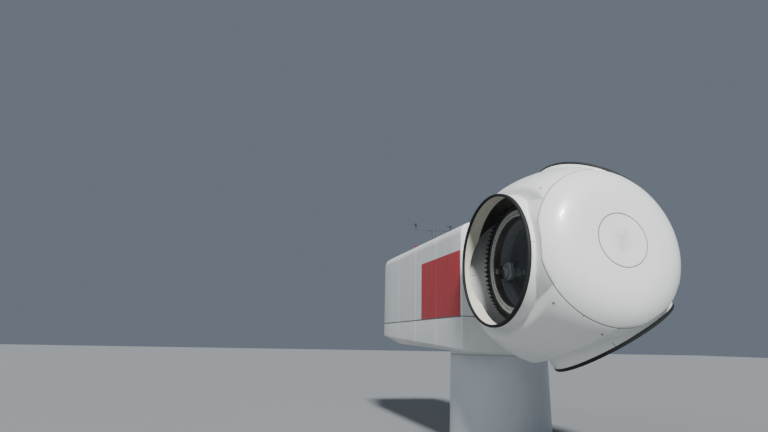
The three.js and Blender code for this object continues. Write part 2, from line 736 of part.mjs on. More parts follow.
PORT_AXES.forEach((axis, port) => {
  const number = port + 1;
  rotor.add(mesh(`spinner_segment_${number}`, segmentGeometry(port), GELCOAT));
  rotor.add(mesh(`port_collar_${number}`, collarGeometry(port), GELCOAT));
  rotor.add(mesh(`port_lip_${number}`, ontoPort(
    ring(LIP_INNER, LIP_OUTER, COLLAR_TOP + BEARING_GAP, LIP_TOP, 'x'), port,
  ), RUBBER));
  rotor.add(mesh(`pitch_drive_${number}`, pitchDrive(port), CASTING));
  rotor.add(mesh(`blade_bearing_outer_race_${number}`, ontoPort(
    ring(...OUTER_RACE, HUB_FLANGE_HEIGHT + SEAT_GAP, RACE_TOP, 'x'), port,
  ), RACE_STEEL));
  rotor.add(mesh(`blade_bearing_inner_race_${number}`, ontoPort(
    ring(...INNER_RACE, HUB_FLANGE_HEIGHT + BEARING_GAP, RACE_TOP, 'x'), port,
  ), RACE_STEEL));
});

const group = new THREE.Group();
group.add(tower, nacelle, rotor);

export default group;
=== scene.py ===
"""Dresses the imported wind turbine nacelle: gel-coat, laminate, castings, bearings, fasteners and studio.

Everything is in metres in the part's own frame: +X towards the nose, +Z up, origin on the tower axis.
"""

import json
import logging
import math
from collections.abc import Callable, Iterable, Sequence
from dataclasses import dataclass
from enum import Enum
from functools import partial

import bmesh
import bpy
import numpy as np
from bpy.types import ID, Material, Mesh, Node, NodeSocket, NodeTree, Object
from mathutils import Matrix, Vector


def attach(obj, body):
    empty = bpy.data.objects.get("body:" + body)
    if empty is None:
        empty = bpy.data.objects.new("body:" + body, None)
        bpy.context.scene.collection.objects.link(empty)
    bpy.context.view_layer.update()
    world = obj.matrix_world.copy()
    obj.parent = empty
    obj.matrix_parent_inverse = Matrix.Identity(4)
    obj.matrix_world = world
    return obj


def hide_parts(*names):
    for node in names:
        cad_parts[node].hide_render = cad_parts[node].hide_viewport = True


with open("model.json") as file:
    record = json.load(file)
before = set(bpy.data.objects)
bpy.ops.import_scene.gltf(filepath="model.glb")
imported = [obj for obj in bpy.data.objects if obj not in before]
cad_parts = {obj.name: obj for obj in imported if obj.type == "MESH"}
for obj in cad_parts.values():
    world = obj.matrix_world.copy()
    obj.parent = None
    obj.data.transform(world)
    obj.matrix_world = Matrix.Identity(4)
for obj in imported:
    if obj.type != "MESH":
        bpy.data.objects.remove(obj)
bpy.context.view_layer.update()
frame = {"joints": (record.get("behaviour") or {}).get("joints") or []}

LOG = logging.getLogger("nacelle")
MERGE = 1e-5
SHARP_ANGLE = math.radians(32)
TURN = 2 * math.pi
TINY = 1e-9
MM_PER_M = 1000


class Slot(Enum):
    """The record's material slots."""

    TOWER = "tower_paint"
    HOUSING = "housing_paint"
    GELCOAT = "gelcoat"
    RUBBER = "lip_rubber"
    CASTING = "casting_paint"
    BEARING = "bearing_steel"
    DARK = "dark_metal"
    LAMP = "lamp_red"


class Body(Enum):
    """The bodies that pieces ride on."""

    TOWER = "tower"
    NACELLE = "nacelle"
    ROTOR = "rotor"
    PITCH_1 = "pitch_1"
    PITCH_2 = "pitch_2"
    PITCH_3 = "pitch_3"


# Materials


def linear(code: str) -> tuple[float, float, float, float]:
    """Turns an sRGB hex colour to linear values.

    Args:
        code: The colour as six hex digits.

    Returns:
        Linear red, green, blue and an alpha of 1.
    """
    shares = [int(code[place:place + 2], 16) / 255 for place in (0, 2, 4)]
    light = [s / 12.92 if s <= 0.04045 else ((s + 0.055) / 1.055) ** 2.4 for s in shares]
    return (*light, 1.0)


def add_node(tree: NodeTree, kind: str, inputs: dict[str | int, object] | None = None,
             **settings: object) -> Node:
    """Adds one node to a tree.

    Args:
        tree: The node tree.
        kind: The node's type name.
        inputs: Values or sockets for its inputs, by name or number. A socket is linked.
        settings: The node's own settings.

    Returns:
        The node.
    """
    made = tree.nodes.new(kind)
    for name, value in settings.items():
        setattr(made, name, value)
    for key, value in (inputs or {}).items():
        if isinstance(value, NodeSocket):
            tree.links.new(value, made.inputs[key])
        else:
            made.inputs[key].default_value = value
    return made


def overlaid(tree: NodeTree, under: NodeSocket | Sequence[float], over: str, pattern: NodeSocket,
             span: tuple[float, float], share: float) -> NodeSocket:
    """Lays one colour over another where a pattern is strong.

    Args:
        tree: The material's tree.
        under: The colour below.
        over: The colour above, as six hex digits.
        pattern: The pattern's value.
        span: The values at which the upper colour starts and at which it shows most.
        share: How much of it shows there.

    Returns:
        The mixed colour.
    """
    amount = add_node(tree, "ShaderNodeMapRange", {
        "Value": pattern, "From Min": span[0], "From Max": span[1], "To Max": share}).outputs["Result"]
    mixed = add_node(tree, "ShaderNodeMix", {0: amount, 6: under, 7: linear(over)}, data_type="RGBA")
    return mixed.outputs[2]


@dataclass(frozen=True)
class Finish:
    """A surface finish, from what the surface is made of and how it was made.

    Scales are the size of one feature of the pattern in millimetres.
    """

    name: str
    colour: str
    shade: str
    roughness: float
    metallic: float = 0.0
    coat: float = 0.0
    patch_mm: float = 900.0
    patch_share: float = 0.5
    streak_mm: float = 0.0
    streak_share: float = 0.0
    streak_colour: str = "8A8C86"
    streak_length: float = 14.0
    grain_mm: float = 12.0
    grain_depth_mm: float = 0.2
    grain_share: float = 0.1
    roughness_swing: float = 0.08

    def build(self) -> Material:
        """Makes the material, with patches in its colour and gloss, grain in its colour and bump, and marks.

        Returns:
            The material.
        """
        material = bpy.data.materials.new(self.name)
        material.use_nodes = True
        tree = material.node_tree
        shader = tree.nodes["Principled BSDF"]
        place = add_node(tree, "ShaderNodeTexCoord").outputs["Object"]
        patches, grain = [
            add_node(tree, "ShaderNodeTexNoise", {
                "Vector": place, "Scale": MM_PER_M / size, "Detail": detail}).outputs["Fac"]
            for size, detail in ((self.patch_mm, 5.0), (self.grain_mm, 3.0))]
        colour = overlaid(tree, linear(self.colour), self.shade, patches, (0.35, 0.7), self.patch_share)
        colour = overlaid(tree, colour, self.shade, grain, (0.4, 0.75), self.grain_share)
        gloss = add_node(tree, "ShaderNodeMapRange", {
            "Value": patches, "From Min": 0.3, "From Max": 0.7,
            "To Min": self.roughness - self.roughness_swing, "To Max": self.roughness + self.roughness_swing})
        bump = add_node(tree, "ShaderNodeBump", {
            "Height": grain, "Strength": 1.0, "Distance": self.grain_depth_mm / MM_PER_M})
        for name, value in (("Base Color", self.paint(tree, place, colour)),
                            ("Roughness", gloss.outputs["Result"]), ("Normal", bump.outputs["Normal"])):
            tree.links.new(value, shader.inputs[name])
        shader.inputs["Metallic"].default_value = self.metallic
        shader.inputs["Coat Weight"].default_value = self.coat
        return material

    def paint(self, tree: NodeTree, place: NodeSocket, colour: NodeSocket) -> NodeSocket:
        """Adds what rain leaves where the finish has streaks: long thin marks that run down.

        Args:
            tree: The material's tree.
            place: The coordinates.
            colour: The colour that the marks lie on.

        Returns:
            The colour with the marks.
        """
        if not self.streak_mm:
            return colour
        fine = MM_PER_M / self.streak_mm
        drawn = add_node(tree, "ShaderNodeMapping", {
            "Vector": place, "Scale": (fine, fine, fine / self.streak_length)}).outputs["Vector"]
        marks = add_node(tree, "ShaderNodeTexNoise", {"Vector": drawn, "Scale": 1.0, "Detail": 4.0})
        return overlaid(tree, colour, self.streak_colour, marks.outputs["Fac"], (0.5, 0.8), self.streak_share)


@dataclass(frozen=True)
class MarkedGelcoat(Finish):
    """The housing's gel-coat with a red aviation band painted on its sides. Places in metres."""

    band: str = "B23A3E"
    band_foot: float = 3.945
    band_top: float = 6.0
    band_rear: float = -2.05
    band_front: float = 1.62
    side: float = 2.03

    def paint(self, tree: NodeTree, place: NodeSocket, colour: NodeSocket) -> NodeSocket:
        """Paints the band between its four edges, on the flat sides only, and then the rain marks.

        Args:
            tree: The material's tree.
            place: The coordinates.
            colour: The colour that the band lies on.

        Returns:
            The colour with the band and the marks.
        """
        axes = add_node(tree, "ShaderNodeSeparateXYZ", {0: place}).outputs
        away = add_node(tree, "ShaderNodeMath", {0: axes["Y"]}, operation="ABSOLUTE").outputs[0]
        share = 1.0
        for value, limit, operation in (
                (axes["Z"], self.band_foot, "GREATER_THAN"), (axes["Z"], self.band_top, "LESS_THAN"),
                (axes["X"], self.band_rear, "GREATER_THAN"), (axes["X"], self.band_front, "LESS_THAN"),
                (away, self.side, "GREATER_THAN")):
            test = add_node(tree, "ShaderNodeMath", {0: value, 1: limit}, operation=operation).outputs[0]
            share = add_node(tree, "ShaderNodeMath", {0: share, 1: test}, operation="MULTIPLY").outputs[0]
        banded = overlaid(tree, colour, self.band, share, (0.0, 1.0), 1.0)
        return super().paint(tree, place, banded)


@dataclass(frozen=True)
class HatchGelcoat(Finish):
    """The spinner's gel-coat with the faint round stain in the middle of the nose hatch. Places in metres."""

    centre: tuple[float, float, float] = (0.0, 0.0, 0.0)
    stain: str = "A6A996"
    stain_share: float = 0.4
    reach: float = 0.34
    fade: float = 0.35
    cloud_mm: float = 142.857
    raggedness: float = 0.7

    def paint(self, tree: NodeTree, place: NodeSocket, colour: NodeSocket) -> NodeSocket:
        """Fades a cloudy stain out from the centre, and then adds the rain marks.

        Args:
            tree: The material's tree.
            place: The coordinates.
            colour: The colour that the stain lies on.

        Returns:
            The colour with the stain and the marks.
        """
        away = add_node(tree, "ShaderNodeVectorMath", {0: place, 1: self.centre}, operation="DISTANCE")
        cloud = add_node(tree, "ShaderNodeTexNoise", {
            "Vector": place, "Scale": MM_PER_M / self.cloud_mm, "Detail": 4.0})
        ragged = add_node(tree, "ShaderNodeMath", {
            0: cloud.outputs["Fac"], 1: self.raggedness, 2: away.outputs["Value"]}, operation="MULTIPLY_ADD")
        stained = overlaid(tree, colour, self.stain, ragged.outputs[0], (self.reach + self.fade, self.reach),
                           self.stain_share)
        return super().paint(tree, place, stained)


class Finishes:
    """All finishes of the part."""

    def __init__(self, nose: tuple[float, float, float]) -> None:
        """Builds each material from what it is and how it was made.

        Args:
            nose: The middle of the nose hatch.
        """
        # Polyester gel-coat sprayed in a mould: smooth and satin, slightly chalky, with rain marks
        self.gelcoat = HatchGelcoat(
            "Satin polyester gel-coat, moulded", "E9EAE7", "DFE1DE", 0.34, coat=0.15, streak_mm=150,
            streak_share=0.08, streak_colour="A3A69F", grain_mm=18, grain_depth_mm=0.10, centre=nose).build()
        # The same gel-coat on the housing, greyer with age, with a sprayed red marking band
        self.housing = MarkedGelcoat(
            "Weathered gel-coat with red marking band", "DDDFDE", "CCD0D1", 0.42, coat=0.05, streak_mm=120,
            streak_share=0.13, streak_colour="9C9F9B", grain_mm=20, grain_depth_mm=0.25).build()
        # Hand-laid glass laminate with a brushed topcoat: the open inner face, cream and slightly wavy
        self.laminate = Finish(
            "Hand-laid glass laminate, inner face", "D9D7C8", "BDB9A6", 0.55, grain_mm=14, grain_depth_mm=1.2,
            grain_share=0.35, patch_mm=300).build()
        # Painted shade: the same laminate made dull grey green on the inner faces of the dome, hatch and
        # segments, for the shade deep inside the spinner, with resin-rich patches
        self.shade_dark_laminate = Finish(
            "Shade-darkened glass laminate, inner face", "65665C", "4B4C44", 0.6, grain_mm=14, grain_depth_mm=1.4,
            grain_share=0.4, patch_mm=240).build()
        # Polyurethane joint sealant: matt grey, darkened by dirt
        self.sealant = Finish(
            "Polyurethane joint sealant", "7E8080", "6C6E6E", 0.8, grain_mm=10, patch_mm=120).build()
        # Extruded EPDM rubber: near black and matt, with a dusty bloom
        self.rubber = Finish(
            "Extruded EPDM rubber", "0D0E10", "1A1C1E", 0.75, grain_mm=14, grain_depth_mm=0.4,
            grain_share=0.3, patch_mm=200).build()
        # Polyurethane topcoat airless-sprayed on rolled steel: light grey, semi-gloss, faint orange peel
        self.topcoat = Finish(
            "Polyurethane topcoat on rolled steel", "BEC4C9", "B1B8BE", 0.4, coat=0.1, streak_mm=90,
            streak_share=0.18, streak_colour="A1A6A8", grain_mm=16, grain_depth_mm=0.3).build()
        # Grey primer brushed on a sand casting: dull, with the sand's coarse skin showing through
        self.casting = Finish(
            "Grey primer on sand-cast iron", "7A7F84", "62676B", 0.62, grain_mm=22, grain_depth_mm=1.6,
            grain_share=0.4, patch_mm=350).build()
        # Machined steel sprayed with zinc: light grey, dull metal with a fine turned grain
        self.race = Finish(
            "Zinc-sprayed machined steel", "B9BCBA", "9DA09E", 0.5, metallic=0.45, grain_mm=9,
            grain_depth_mm=0.15, grain_share=0.3, patch_mm=160, roughness_swing=0.12).build()
        # Machined steel phosphated in manganese: charcoal black, dull, with a fine turned grain; on the outer
        # races and their nuts its darkness is partly painted shade, for the shadow that lies on them
        self.phosphate_and_shade = Finish(
            "Manganese-phosphated bearing steel", "3B3C3D", "2A2B2C", 0.55, metallic=0.3, grain_mm=9,
            grain_depth_mm=0.15, grain_share=0.3, patch_mm=160).build()
        # Hardened gear steel under brown-black grease: dark, with wet shiny patches
        self.gear = Finish(
            "Greased gear steel", "7A7875", "595653", 0.42, metallic=0.25, grain_mm=12, grain_depth_mm=0.8,
            grain_share=0.5, patch_mm=90, roughness_swing=0.16).build()
        # Flake-zinc coated bolts: dull silver grey
        self.zinc = Finish(
            "Flake-zinc coated bolts", "8F9391", "6E7271", 0.45, metallic=0.7, grain_mm=8, grain_depth_mm=0.1,
            patch_mm=60).build()
        # Machine enamel on motors and gearboxes: mid grey, semi-gloss
        self.enamel = Finish(
            "Machine enamel on drives", "848B90", "727A80", 0.36, coat=0.2, grain_mm=14, grain_depth_mm=0.3,
            patch_mm=140).build()
        # Polyester powder coat: dark grey with a fine even texture
        self.powder = Finish(
            "Polyester powder coat", "4A4F53", "3C4145", 0.5, grain_mm=8, grain_depth_mm=0.3,
            patch_mm=150).build()
        # Moulded weatherproof plastic of the wind sensors: black, a little faded
        self.plastic = Finish(
            "Moulded ASA plastic", "25282B", "3A3D40", 0.48, grain_mm=7, grain_depth_mm=0.1,
            patch_mm=60).build()
        # Pressed red signal glass: deep red and glossy
        self.lens = Finish(
            "Pressed red signal glass", "9E1218", "7A0C12", 0.12, coat=0.8, grain_mm=20, grain_depth_mm=0.05,
            patch_mm=60, roughness_swing=0.05).build()


# Shapes


def placed(name: str, data: ID) -> Object:
    """Makes an object and puts it in the scene.

    Args:
        name: Its name.
        data: Its mesh, light or camera.

    Returns:
        The object.
    """
    made = bpy.data.objects.new(name, data)
    bpy.context.scene.collection.objects.link(made)
    return made


def steps_round(count: int) -> np.ndarray:
    """Angles in equal steps round a circle."""
    return np.arange(count) * TURN / count


def round_points(angle: np.ndarray) -> np.ndarray:
    """Points at angles on a circle of radius 1."""
    return np.stack([np.cos(angle), np.sin(angle)], -1)


def rounded(corners: Sequence[tuple[float, float, float]], closed: bool = True, steps: int = 4) -> np.ndarray:
    """Rounds the corners of an outline.

    Args:
        corners: Each corner's two coordinates and its radius.
        closed: Whether the last corner joins the first.
        steps: Straight pieces in each rounded corner.

    Returns:
        The outline's points, one row each.
    """
    points = []
    count = len(corners)
    for number, (x, y, radius) in enumerate(corners):
        here = np.array((x, y))
        if radius == 0 or (not closed and number in (0, count - 1)):
            points.append(here)
            continue
        before = np.array(corners[number - 1][:2]) - here
        after = np.array(corners[(number + 1) % count][:2]) - here
        to_before, to_after = before / np.linalg.norm(before), after / np.linalg.norm(after)
        half = math.acos(np.clip(to_before @ to_after, -1, 1)) / 2
        reach = min(radius / math.tan(half), 0.49 * min(np.linalg.norm(before), np.linalg.norm(after)))
        real = reach * math.tan(half)
        middle = (to_before + to_after) / np.linalg.norm(to_before + to_after)
        centre = here + middle * real / math.sin(half)
        start, stop = here + to_before * reach - centre, here + to_after * reach - centre
        opening = math.acos(np.clip(start @ stop / real ** 2, -1, 1))
        for share in np.linspace(0, 1, steps + 1):
            mixed = start * math.sin((1 - share) * opening) + stop * math.sin(share * opening)
            points.append(centre + mixed / math.sin(opening))
    return np.array(points)


def placing(axis: Sequence[float], towards: Sequence[float], origin: Sequence[float]) -> np.ndarray:
    """A placing whose third direction is an axis.

    Args:
        axis: The direction of the third axis.
        towards: The direction that the first axis leans to.
        origin: Where the placing's own origin lies.

    Returns:
        A 4 by 4 matrix.
    """
    third = np.array(axis, float) / np.linalg.norm(axis)
    first = np.array(towards, float) - third * (third @ np.array(towards, float))
    first /= np.linalg.norm(first)
    made = np.eye(4)
    made[:3, 0], made[:3, 1], made[:3, 2], made[:3, 3] = first, np.cross(third, first), third, origin
    return made


class Shape:
    """A mesh being made: its points, its faces and the number of each face's finish."""

    def __init__(self) -> None:
        """Starts with nothing."""
        self.points: list[np.ndarray] = []
        self.faces: list[list[int]] = []
        self.finishes: list[int] = []
        self.size = 0

    def add(self, points: np.ndarray, faces: Iterable[Sequence[int]],
            finish: int | Sequence[int] = 0) -> None:
        """Adds faces on new points.

        Args:
            points: The points, one row each.
            faces: Faces, as numbers of those points.
            finish: One finish for all faces, or one for each.
        """
        start = self.size
        made = [[int(number) + start for number in face] for face in faces]
        self.faces += made
        self.finishes += [finish] * len(made) if isinstance(finish, int) else list(finish)
        self.points.append(np.asarray(points, float).reshape(-1, 3))
        self.size += len(self.points[-1])

    def grid(self, points: np.ndarray, finish: int | Sequence[int] | np.ndarray = 0,
             round_columns: bool = True, round_rows: bool = False) -> None:
        """Adds a net of four-sided faces.

        Args:
            points: Points by row and column.
            finish: One finish, or one for each strip between two rows, or one for each face of each strip.
            round_columns: Whether the last column joins the first.
            round_rows: Whether the last row joins the first.
        """
        rows, columns = points.shape[:2]
        row = np.arange(rows if round_rows else rows - 1)[:, None]
        column = np.arange(columns if round_columns else columns - 1)[None, :]
        here, below = row * columns, (row + 1) % rows * columns
        side = (column + 1) % columns
        faces = np.stack([here + column, here + side, below + side, below + column], -1)
        chosen = np.asarray(finish)
        chosen = chosen[:, None] if chosen.ndim == 1 else chosen
        self.add(points.reshape(-1, 3), faces.reshape(-1, 4),
                 np.broadcast_to(chosen, (row.size, column.size)).ravel().tolist())

    def lathe(self, profile: Iterable[tuple[float | np.ndarray, float]], place: np.ndarray, columns: int = 96,
              finish: int | Sequence[int] = 0, closed: bool = False) -> None:
        """Adds a turned shape.

        Args:
            profile: Radius and place along the axis for each point of the section. A radius may be an array,
                with one for each step round the axis.
            place: The placing whose third direction is the axis.
            columns: Steps round the axis.
            finish: One finish, or one for each side of the section.
            closed: Whether the section closes on itself. Otherwise it starts and ends on the axis.
        """
        angle = steps_round(columns)
        rows = [level(np.multiply(radius, round_points(angle).T).T, along)
                for radius, along in profile]
        self.grid(moved(np.array(rows), place), finish, round_rows=closed)

    def turned(self, corners: Sequence[tuple[float, float, float]], place: np.ndarray, columns: int = 96,
               finish: int = 0, closed: bool = False, steps: int = 4) -> None:
        """Adds a turned shape with rounded corners. Its other arguments are those of the lathe.

        Args:
            corners: Radius, place along the axis and rounding of each corner of the section.
            steps: Straight pieces in each rounded corner.
        """
        self.lathe(rounded(corners, closed, steps), place, columns, finish, closed)

    def box(self, low: Sequence[float], high: Sequence[float], edge: float = 0.0,
            place: np.ndarray | None = None, finish: int = 0) -> None:
        """Adds a box with chamfered edges.

        Args:
            low: Its lowest corner.
            high: Its highest corner.
            edge: The width of the chamfer.
            place: Its placing, or none where it lies in the part's frame.
            finish: The finish.
        """
        low, high = np.array(low, float), np.array(high, float)
        work = bmesh.new()
        bmesh.ops.create_cube(work, size=1.0)
        for vertex in work.verts:
            vertex.co = (low + high) / 2 + np.array(vertex.co) * (high - low)
        if edge:
            cut = min(edge, 0.45 * float((high - low).min()))
            bmesh.ops.bevel(work, geom=work.edges[:], offset=cut, segments=1, affect="EDGES")
        work.verts.index_update()
        points = np.array([vertex.co for vertex in work.verts])
        faces = [[vertex.index for vertex in face.verts] for face in work.faces]
        work.free()
        self.add(points if place is None else moved(points, place), faces, finish)

    def tube(self, route: Sequence[Sequence[float]], radius: float, sides: int = 12, finish: int = 0) -> None:
        """Adds a round bar that follows a route, with closed ends.

        Args:
            route: The points that it follows.
            radius: Its radius.
            sides: Faces round it.
            finish: The finish.
        """
        path = np.array(route, float)
        run = np.gradient(path, axis=0)
        run /= np.linalg.norm(run, axis=1)[:, None]
        across = np.cross(run[0], (0.31, 0.17, 0.93))
        rows = []
        for point, along in zip(path, run):
            across = across - along * (across @ along)
            across /= np.linalg.norm(across)
            angle = steps_round(sides)
            rows.append(point + radius * (np.cos(angle)[:, None] * across
                                          + np.sin(angle)[:, None] * np.cross(along, across)))
        closed = [np.repeat(path[:1], sides, 0), *rows, np.repeat(path[-1:], sides, 0)]
        self.grid(np.array(closed), finish)

    def join(self, mesh: Mesh, finish: int = 0) -> None:
        """Adds a finished mesh.

        Args:
            mesh: The mesh.
            finish: The finish of all its faces.
        """
        points = np.zeros(len(mesh.vertices) * 3)
        mesh.vertices.foreach_get("co", points)
        self.add(points.reshape(-1, 3), [list(face.vertices) for face in mesh.polygons], finish)

    def mesh(self, name: str) -> Mesh:
        """Makes the mesh: doubles merged, faces out, round stretches smooth and edges crisp.

        Args:
            name: Its name.

        Returns:
            The mesh.
        """
        made = bpy.data.meshes.new(name)
        made.from_pydata(np.concatenate(self.points).tolist(), [], self.faces)
        made.polygons.foreach_set("material_index", self.finishes)
        work = bmesh.new()
        work.from_mesh(made)
        bmesh.ops.remove_doubles(work, verts=work.verts, dist=MERGE)
        bmesh.ops.dissolve_degenerate(work, edges=work.edges, dist=MERGE)
        bmesh.ops.recalc_face_normals(work, faces=work.faces)
        work.to_mesh(made)
        work.free()
        made.polygons.foreach_set("use_smooth", [True] * len(made.polygons))
        made.set_sharp_from_angle(angle=SHARP_ANGLE)
        return made

    def deliver(self, name: str, body: Body, slot: Slot, finishes: Sequence[Material],
                node: str = "") -> None:
        """Makes the piece, seats it on its body and reports it.

        Args:
            name: The piece's name.
            body: The body that it rides on.
            slot: The record's material slot; not used.
            finishes: Its materials, in the order of their numbers.
            node: The frame's node that it stands for, if any.
        """
        mesh = self.mesh(name)
        for finish in finishes:
            mesh.materials.append(finish)
        piece = placed(name, mesh)
        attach(piece, body.value)
        if node:
            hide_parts(node)
        LOG.info("%s made, on body %s", name, body.value)


def level(outline: np.ndarray, height: float) -> np.ndarray:
    """The points of a flat outline at a height."""
    return np.column_stack([outline, np.full(len(outline), height)])


def shifted(along_first: float, along_third: float = 0.0) -> np.ndarray:
    """A placing moved along its own first and third axes."""
    return placing((0, 0, 1), (1, 0, 0), (along_first, 0, along_third))


def moved(points: np.ndarray, place: np.ndarray) -> np.ndarray:
    """Points carried from a placing's own frame to the part's."""
    return points @ place[:3, :3].T + place[:3, 3]


# Rotor geometry


def fanned(axes: Sequence[np.ndarray], polar: np.ndarray | float, turn: np.ndarray | float) -> np.ndarray:
    """Directions at a polar angle from the last of three axes and at a turn round it from the first.

    Args:
        axes: The three axes.
        polar: The angles from the last axis.
        turn: The angles round it.

    Returns:
        The directions, with their coordinates last.
    """
    first, second, third = axes
    polar, turn = np.broadcast_arrays(polar, turn)
    return (np.cos(polar)[..., None] * third + (np.sin(polar) * np.cos(turn))[..., None] * first
            + (np.sin(polar) * np.sin(turn))[..., None] * second)


class RotorFrame:
    """The rotor's axes, read from the frame's joints, and the directions on the spinner."""

    def __init__(self) -> None:
        """Reads the joints."""
        joints = {joint["name"]: joint for joint in frame["joints"]}
        axes = {name: np.array(one["axis"]) / np.linalg.norm(one["axis"]) for name, one in joints.items()}
        self.centre = np.array(joints["rotor_spin"]["pos_m"])
        self.axis = axes["rotor_spin"]
        self.across = np.array((0.0, -1.0, 0.0))
        self.up = np.cross(self.across, self.axis)
        self.ports = [axes[f"blade_pitch_{number}"] for number in (1, 2, 3)]
        self.cone = math.asin(self.ports[0] @ self.axis)
        self.centres = [number * TURN / 3 for number in range(3)]
        self.place = placing(self.axis, self.up, self.centre)
        self.port_places = [placing(axis, self.axis, self.centre) for axis in self.ports]

    def from_nose(self, polar: np.ndarray, angle: np.ndarray) -> np.ndarray:
        """Directions at a polar angle from the nose and an angle round it, from port 1 upwards."""
        return fanned((self.across, self.up, self.axis), polar, angle)

    def from_port(self, port: int, polar: np.ndarray, turn: np.ndarray) -> np.ndarray:
        """Directions at a polar angle from a port's axis and a turn round it, from the nose side."""
        return fanned(self.port_places[port][:3, :3].T, polar, turn)

    def in_port(self, port: int, directions: np.ndarray) -> tuple[np.ndarray, np.ndarray]:
        """The polar angle and the turn of directions about a port's axis."""
        first, second, third = (directions @ axis for axis in self.port_places[port][:3, :3].T)
        return np.arccos(np.clip(third, -1, 1)), np.arctan2(second, first)


def smooth_max(one: np.ndarray, two: np.ndarray, width: np.ndarray | float) -> np.ndarray:
    """The larger of two values, rounded over where they meet.

    Args:
        one: The first values.
        two: The second values.
        width: How far apart the values are where the rounding ends.

    Returns:
        The larger values.
    """
    wide = np.maximum(width, TINY)
    share = np.clip(0.5 + 0.5 * (one - two) / wide, 0, 1)
    return two * (1 - share) + one * share + wide * share * (1 - share)


def smooth_min(one: np.ndarray, two: np.ndarray, width: np.ndarray | float) -> np.ndarray:
    """The smaller of two values, rounded over where they meet."""
    return -smooth_max(-one, -two, width)


@dataclass
class SpinnerForm:
    """The spinner's outer surface, as its distance from the hub centre in any direction."""

    rotor: RotorFrame
    nose_x: float = 2.515
    belly_x: float = -0.2
    belly_radius: float = 2.727
    front_length_power: float = 1.4
    front_radius_power: float = 4.9
    rear_pole_x: float = -2.5
    rear_power: float = 2.6
    thickness: float = 0.03
    dome_seam_x: float = 2.04
    rear_x: float = -2.0
    hatch_radius: float = 0.675
    collar_radius: float = 1.768
    collar_top: float = 2.22
    collar_seam: float = math.radians(43.5)
    fillet: float = 0.035
    pad_height: float = 1.84
    pad_edge: float = 0.08
    neck_radius: float = 2.15
    neck_centre_x: float = 1.3
    neck_edge: float = 0.02
    saddle_height: float = 2.08
    saddle_edge: float = 0.06
    seam_gap: float = 0.0006
    halvings: int = 34

    def radius_at(self, x: np.ndarray | float) -> np.ndarray | float:
        """The turned body's radius.

        Args:
            x: Places along the rotor axis from the hub centre.

        Returns:
            The radius at each place.
        """
        front = np.clip((x - self.belly_x) / (self.nose_x - self.belly_x), 0, 1)
        rear = np.clip((self.belly_x - x) / (self.belly_x - self.rear_pole_x), 0, 1)
        return (self.belly_radius * (1 - front ** self.front_length_power) ** (1 / self.front_radius_power)
                * (1 - rear ** self.rear_power) ** (1 / self.rear_power))

    def reach(self, directions: np.ndarray) -> np.ndarray:
        """The surface's distance from the hub centre.

        The body is turned about the rotor axis, and so is the neck, a cylinder with a rounded end. Round each
        port the body is cut down to a flat pad, the neck with its flat saddle stands over the pad on the nose
        side, and the collar stands on them.

        Args:
            directions: Directions from the hub centre.

        Returns:
            The distance in each direction.
        """
        along = directions @ self.rotor.axis
        across = np.sqrt(np.clip(1 - along ** 2, 0, None))
        inner, outer = np.zeros(along.shape), np.full(along.shape, 2 * self.belly_radius)
        for _ in range(self.halvings):
            middle = (inner + outer) / 2
            within = middle * across < self.radius_at(middle * along)
            inner, outer = np.where(within, middle, inner), np.where(within, outer, middle)
        found = inner
        plain, ahead = self.neck_radius / np.maximum(across, TINY), self.neck_centre_x * along
        end = ahead + np.sqrt(np.maximum(ahead ** 2 + self.neck_radius ** 2 - self.neck_centre_x ** 2, 0))
        neck = np.where(plain * along < self.neck_centre_x, plain, end)
        for axis in self.rotor.ports:
            height = directions @ axis
            ahead = height > 0.05
            height = np.where(ahead, height, 1.0)
            side = np.sqrt(np.clip(1 - height ** 2, 1e-12, None))
            pad = smooth_min(found, self.pad_height / height, self.pad_edge)
            saddle = smooth_min(neck, self.saddle_height / height, self.saddle_edge)
            shaped = np.maximum(pad, smooth_min(found, saddle, self.neck_edge))
            at = self.collar_radius * height / side
            width = self.fillet * np.clip((self.collar_top - at) / self.fillet, 0, 1)
            shaped = smooth_max(shaped, self.collar_radius / side, width)
            found = np.where(ahead, shaped, found)
        return found

    @property
    def seam_polar(self) -> float:
        """The dome seam's angle from the nose."""
        return math.atan2(self.radius_at(self.dome_seam_x), self.dome_seam_x)

    @property
    def rear_polar(self) -> float:
        """The rear rim's angle from the nose."""
        return math.atan2(self.radius_at(self.rear_x), self.rear_x)

    @property
    def hatch_polar(self) -> float:
        """The nose hatch's angle from the nose."""
        return math.atan2(self.hatch_radius, self.nose_x)

    @property
    def gap_angle(self) -> float:
        """The angle of the gap that a seam keeps."""
        return self.seam_gap / self.belly_radius

    @property
    def tip_angle(self) -> float:
        """The angle round the nose at which the dome seam runs into a collar.

        Returns:
            The angle, counted from the collar's own place round the nose.
        """
        polar, seam = self.seam_polar + self.gap_angle, self.collar_seam + self.gap_angle
        share = math.cos(seam) - math.cos(polar) * math.sin(self.rotor.cone)
        return math.acos(share / (math.sin(polar) * math.cos(self.rotor.cone)))


@dataclass
class SeamEdge:
    """How a shell's edge is rounded over at a seam: share of the width in from the edge, and depth there.

    The size scales the width and the depth. It is one number, or one for each column of the shell.
    Only an edge of more than half size shows the sealant.
    """

    size: float | np.ndarray = 1.0
    width: float = 0.018
    steps: tuple[tuple[float, float], ...] = ((0.0, 0.014), (0.3, 0.006), (0.55, 0.0016), (1.0, 0.0))


class Face(Enum):
    """The finishes of a spinner shell."""

    OUTSIDE = 0
    INSIDE = 1
    SEAM = 2


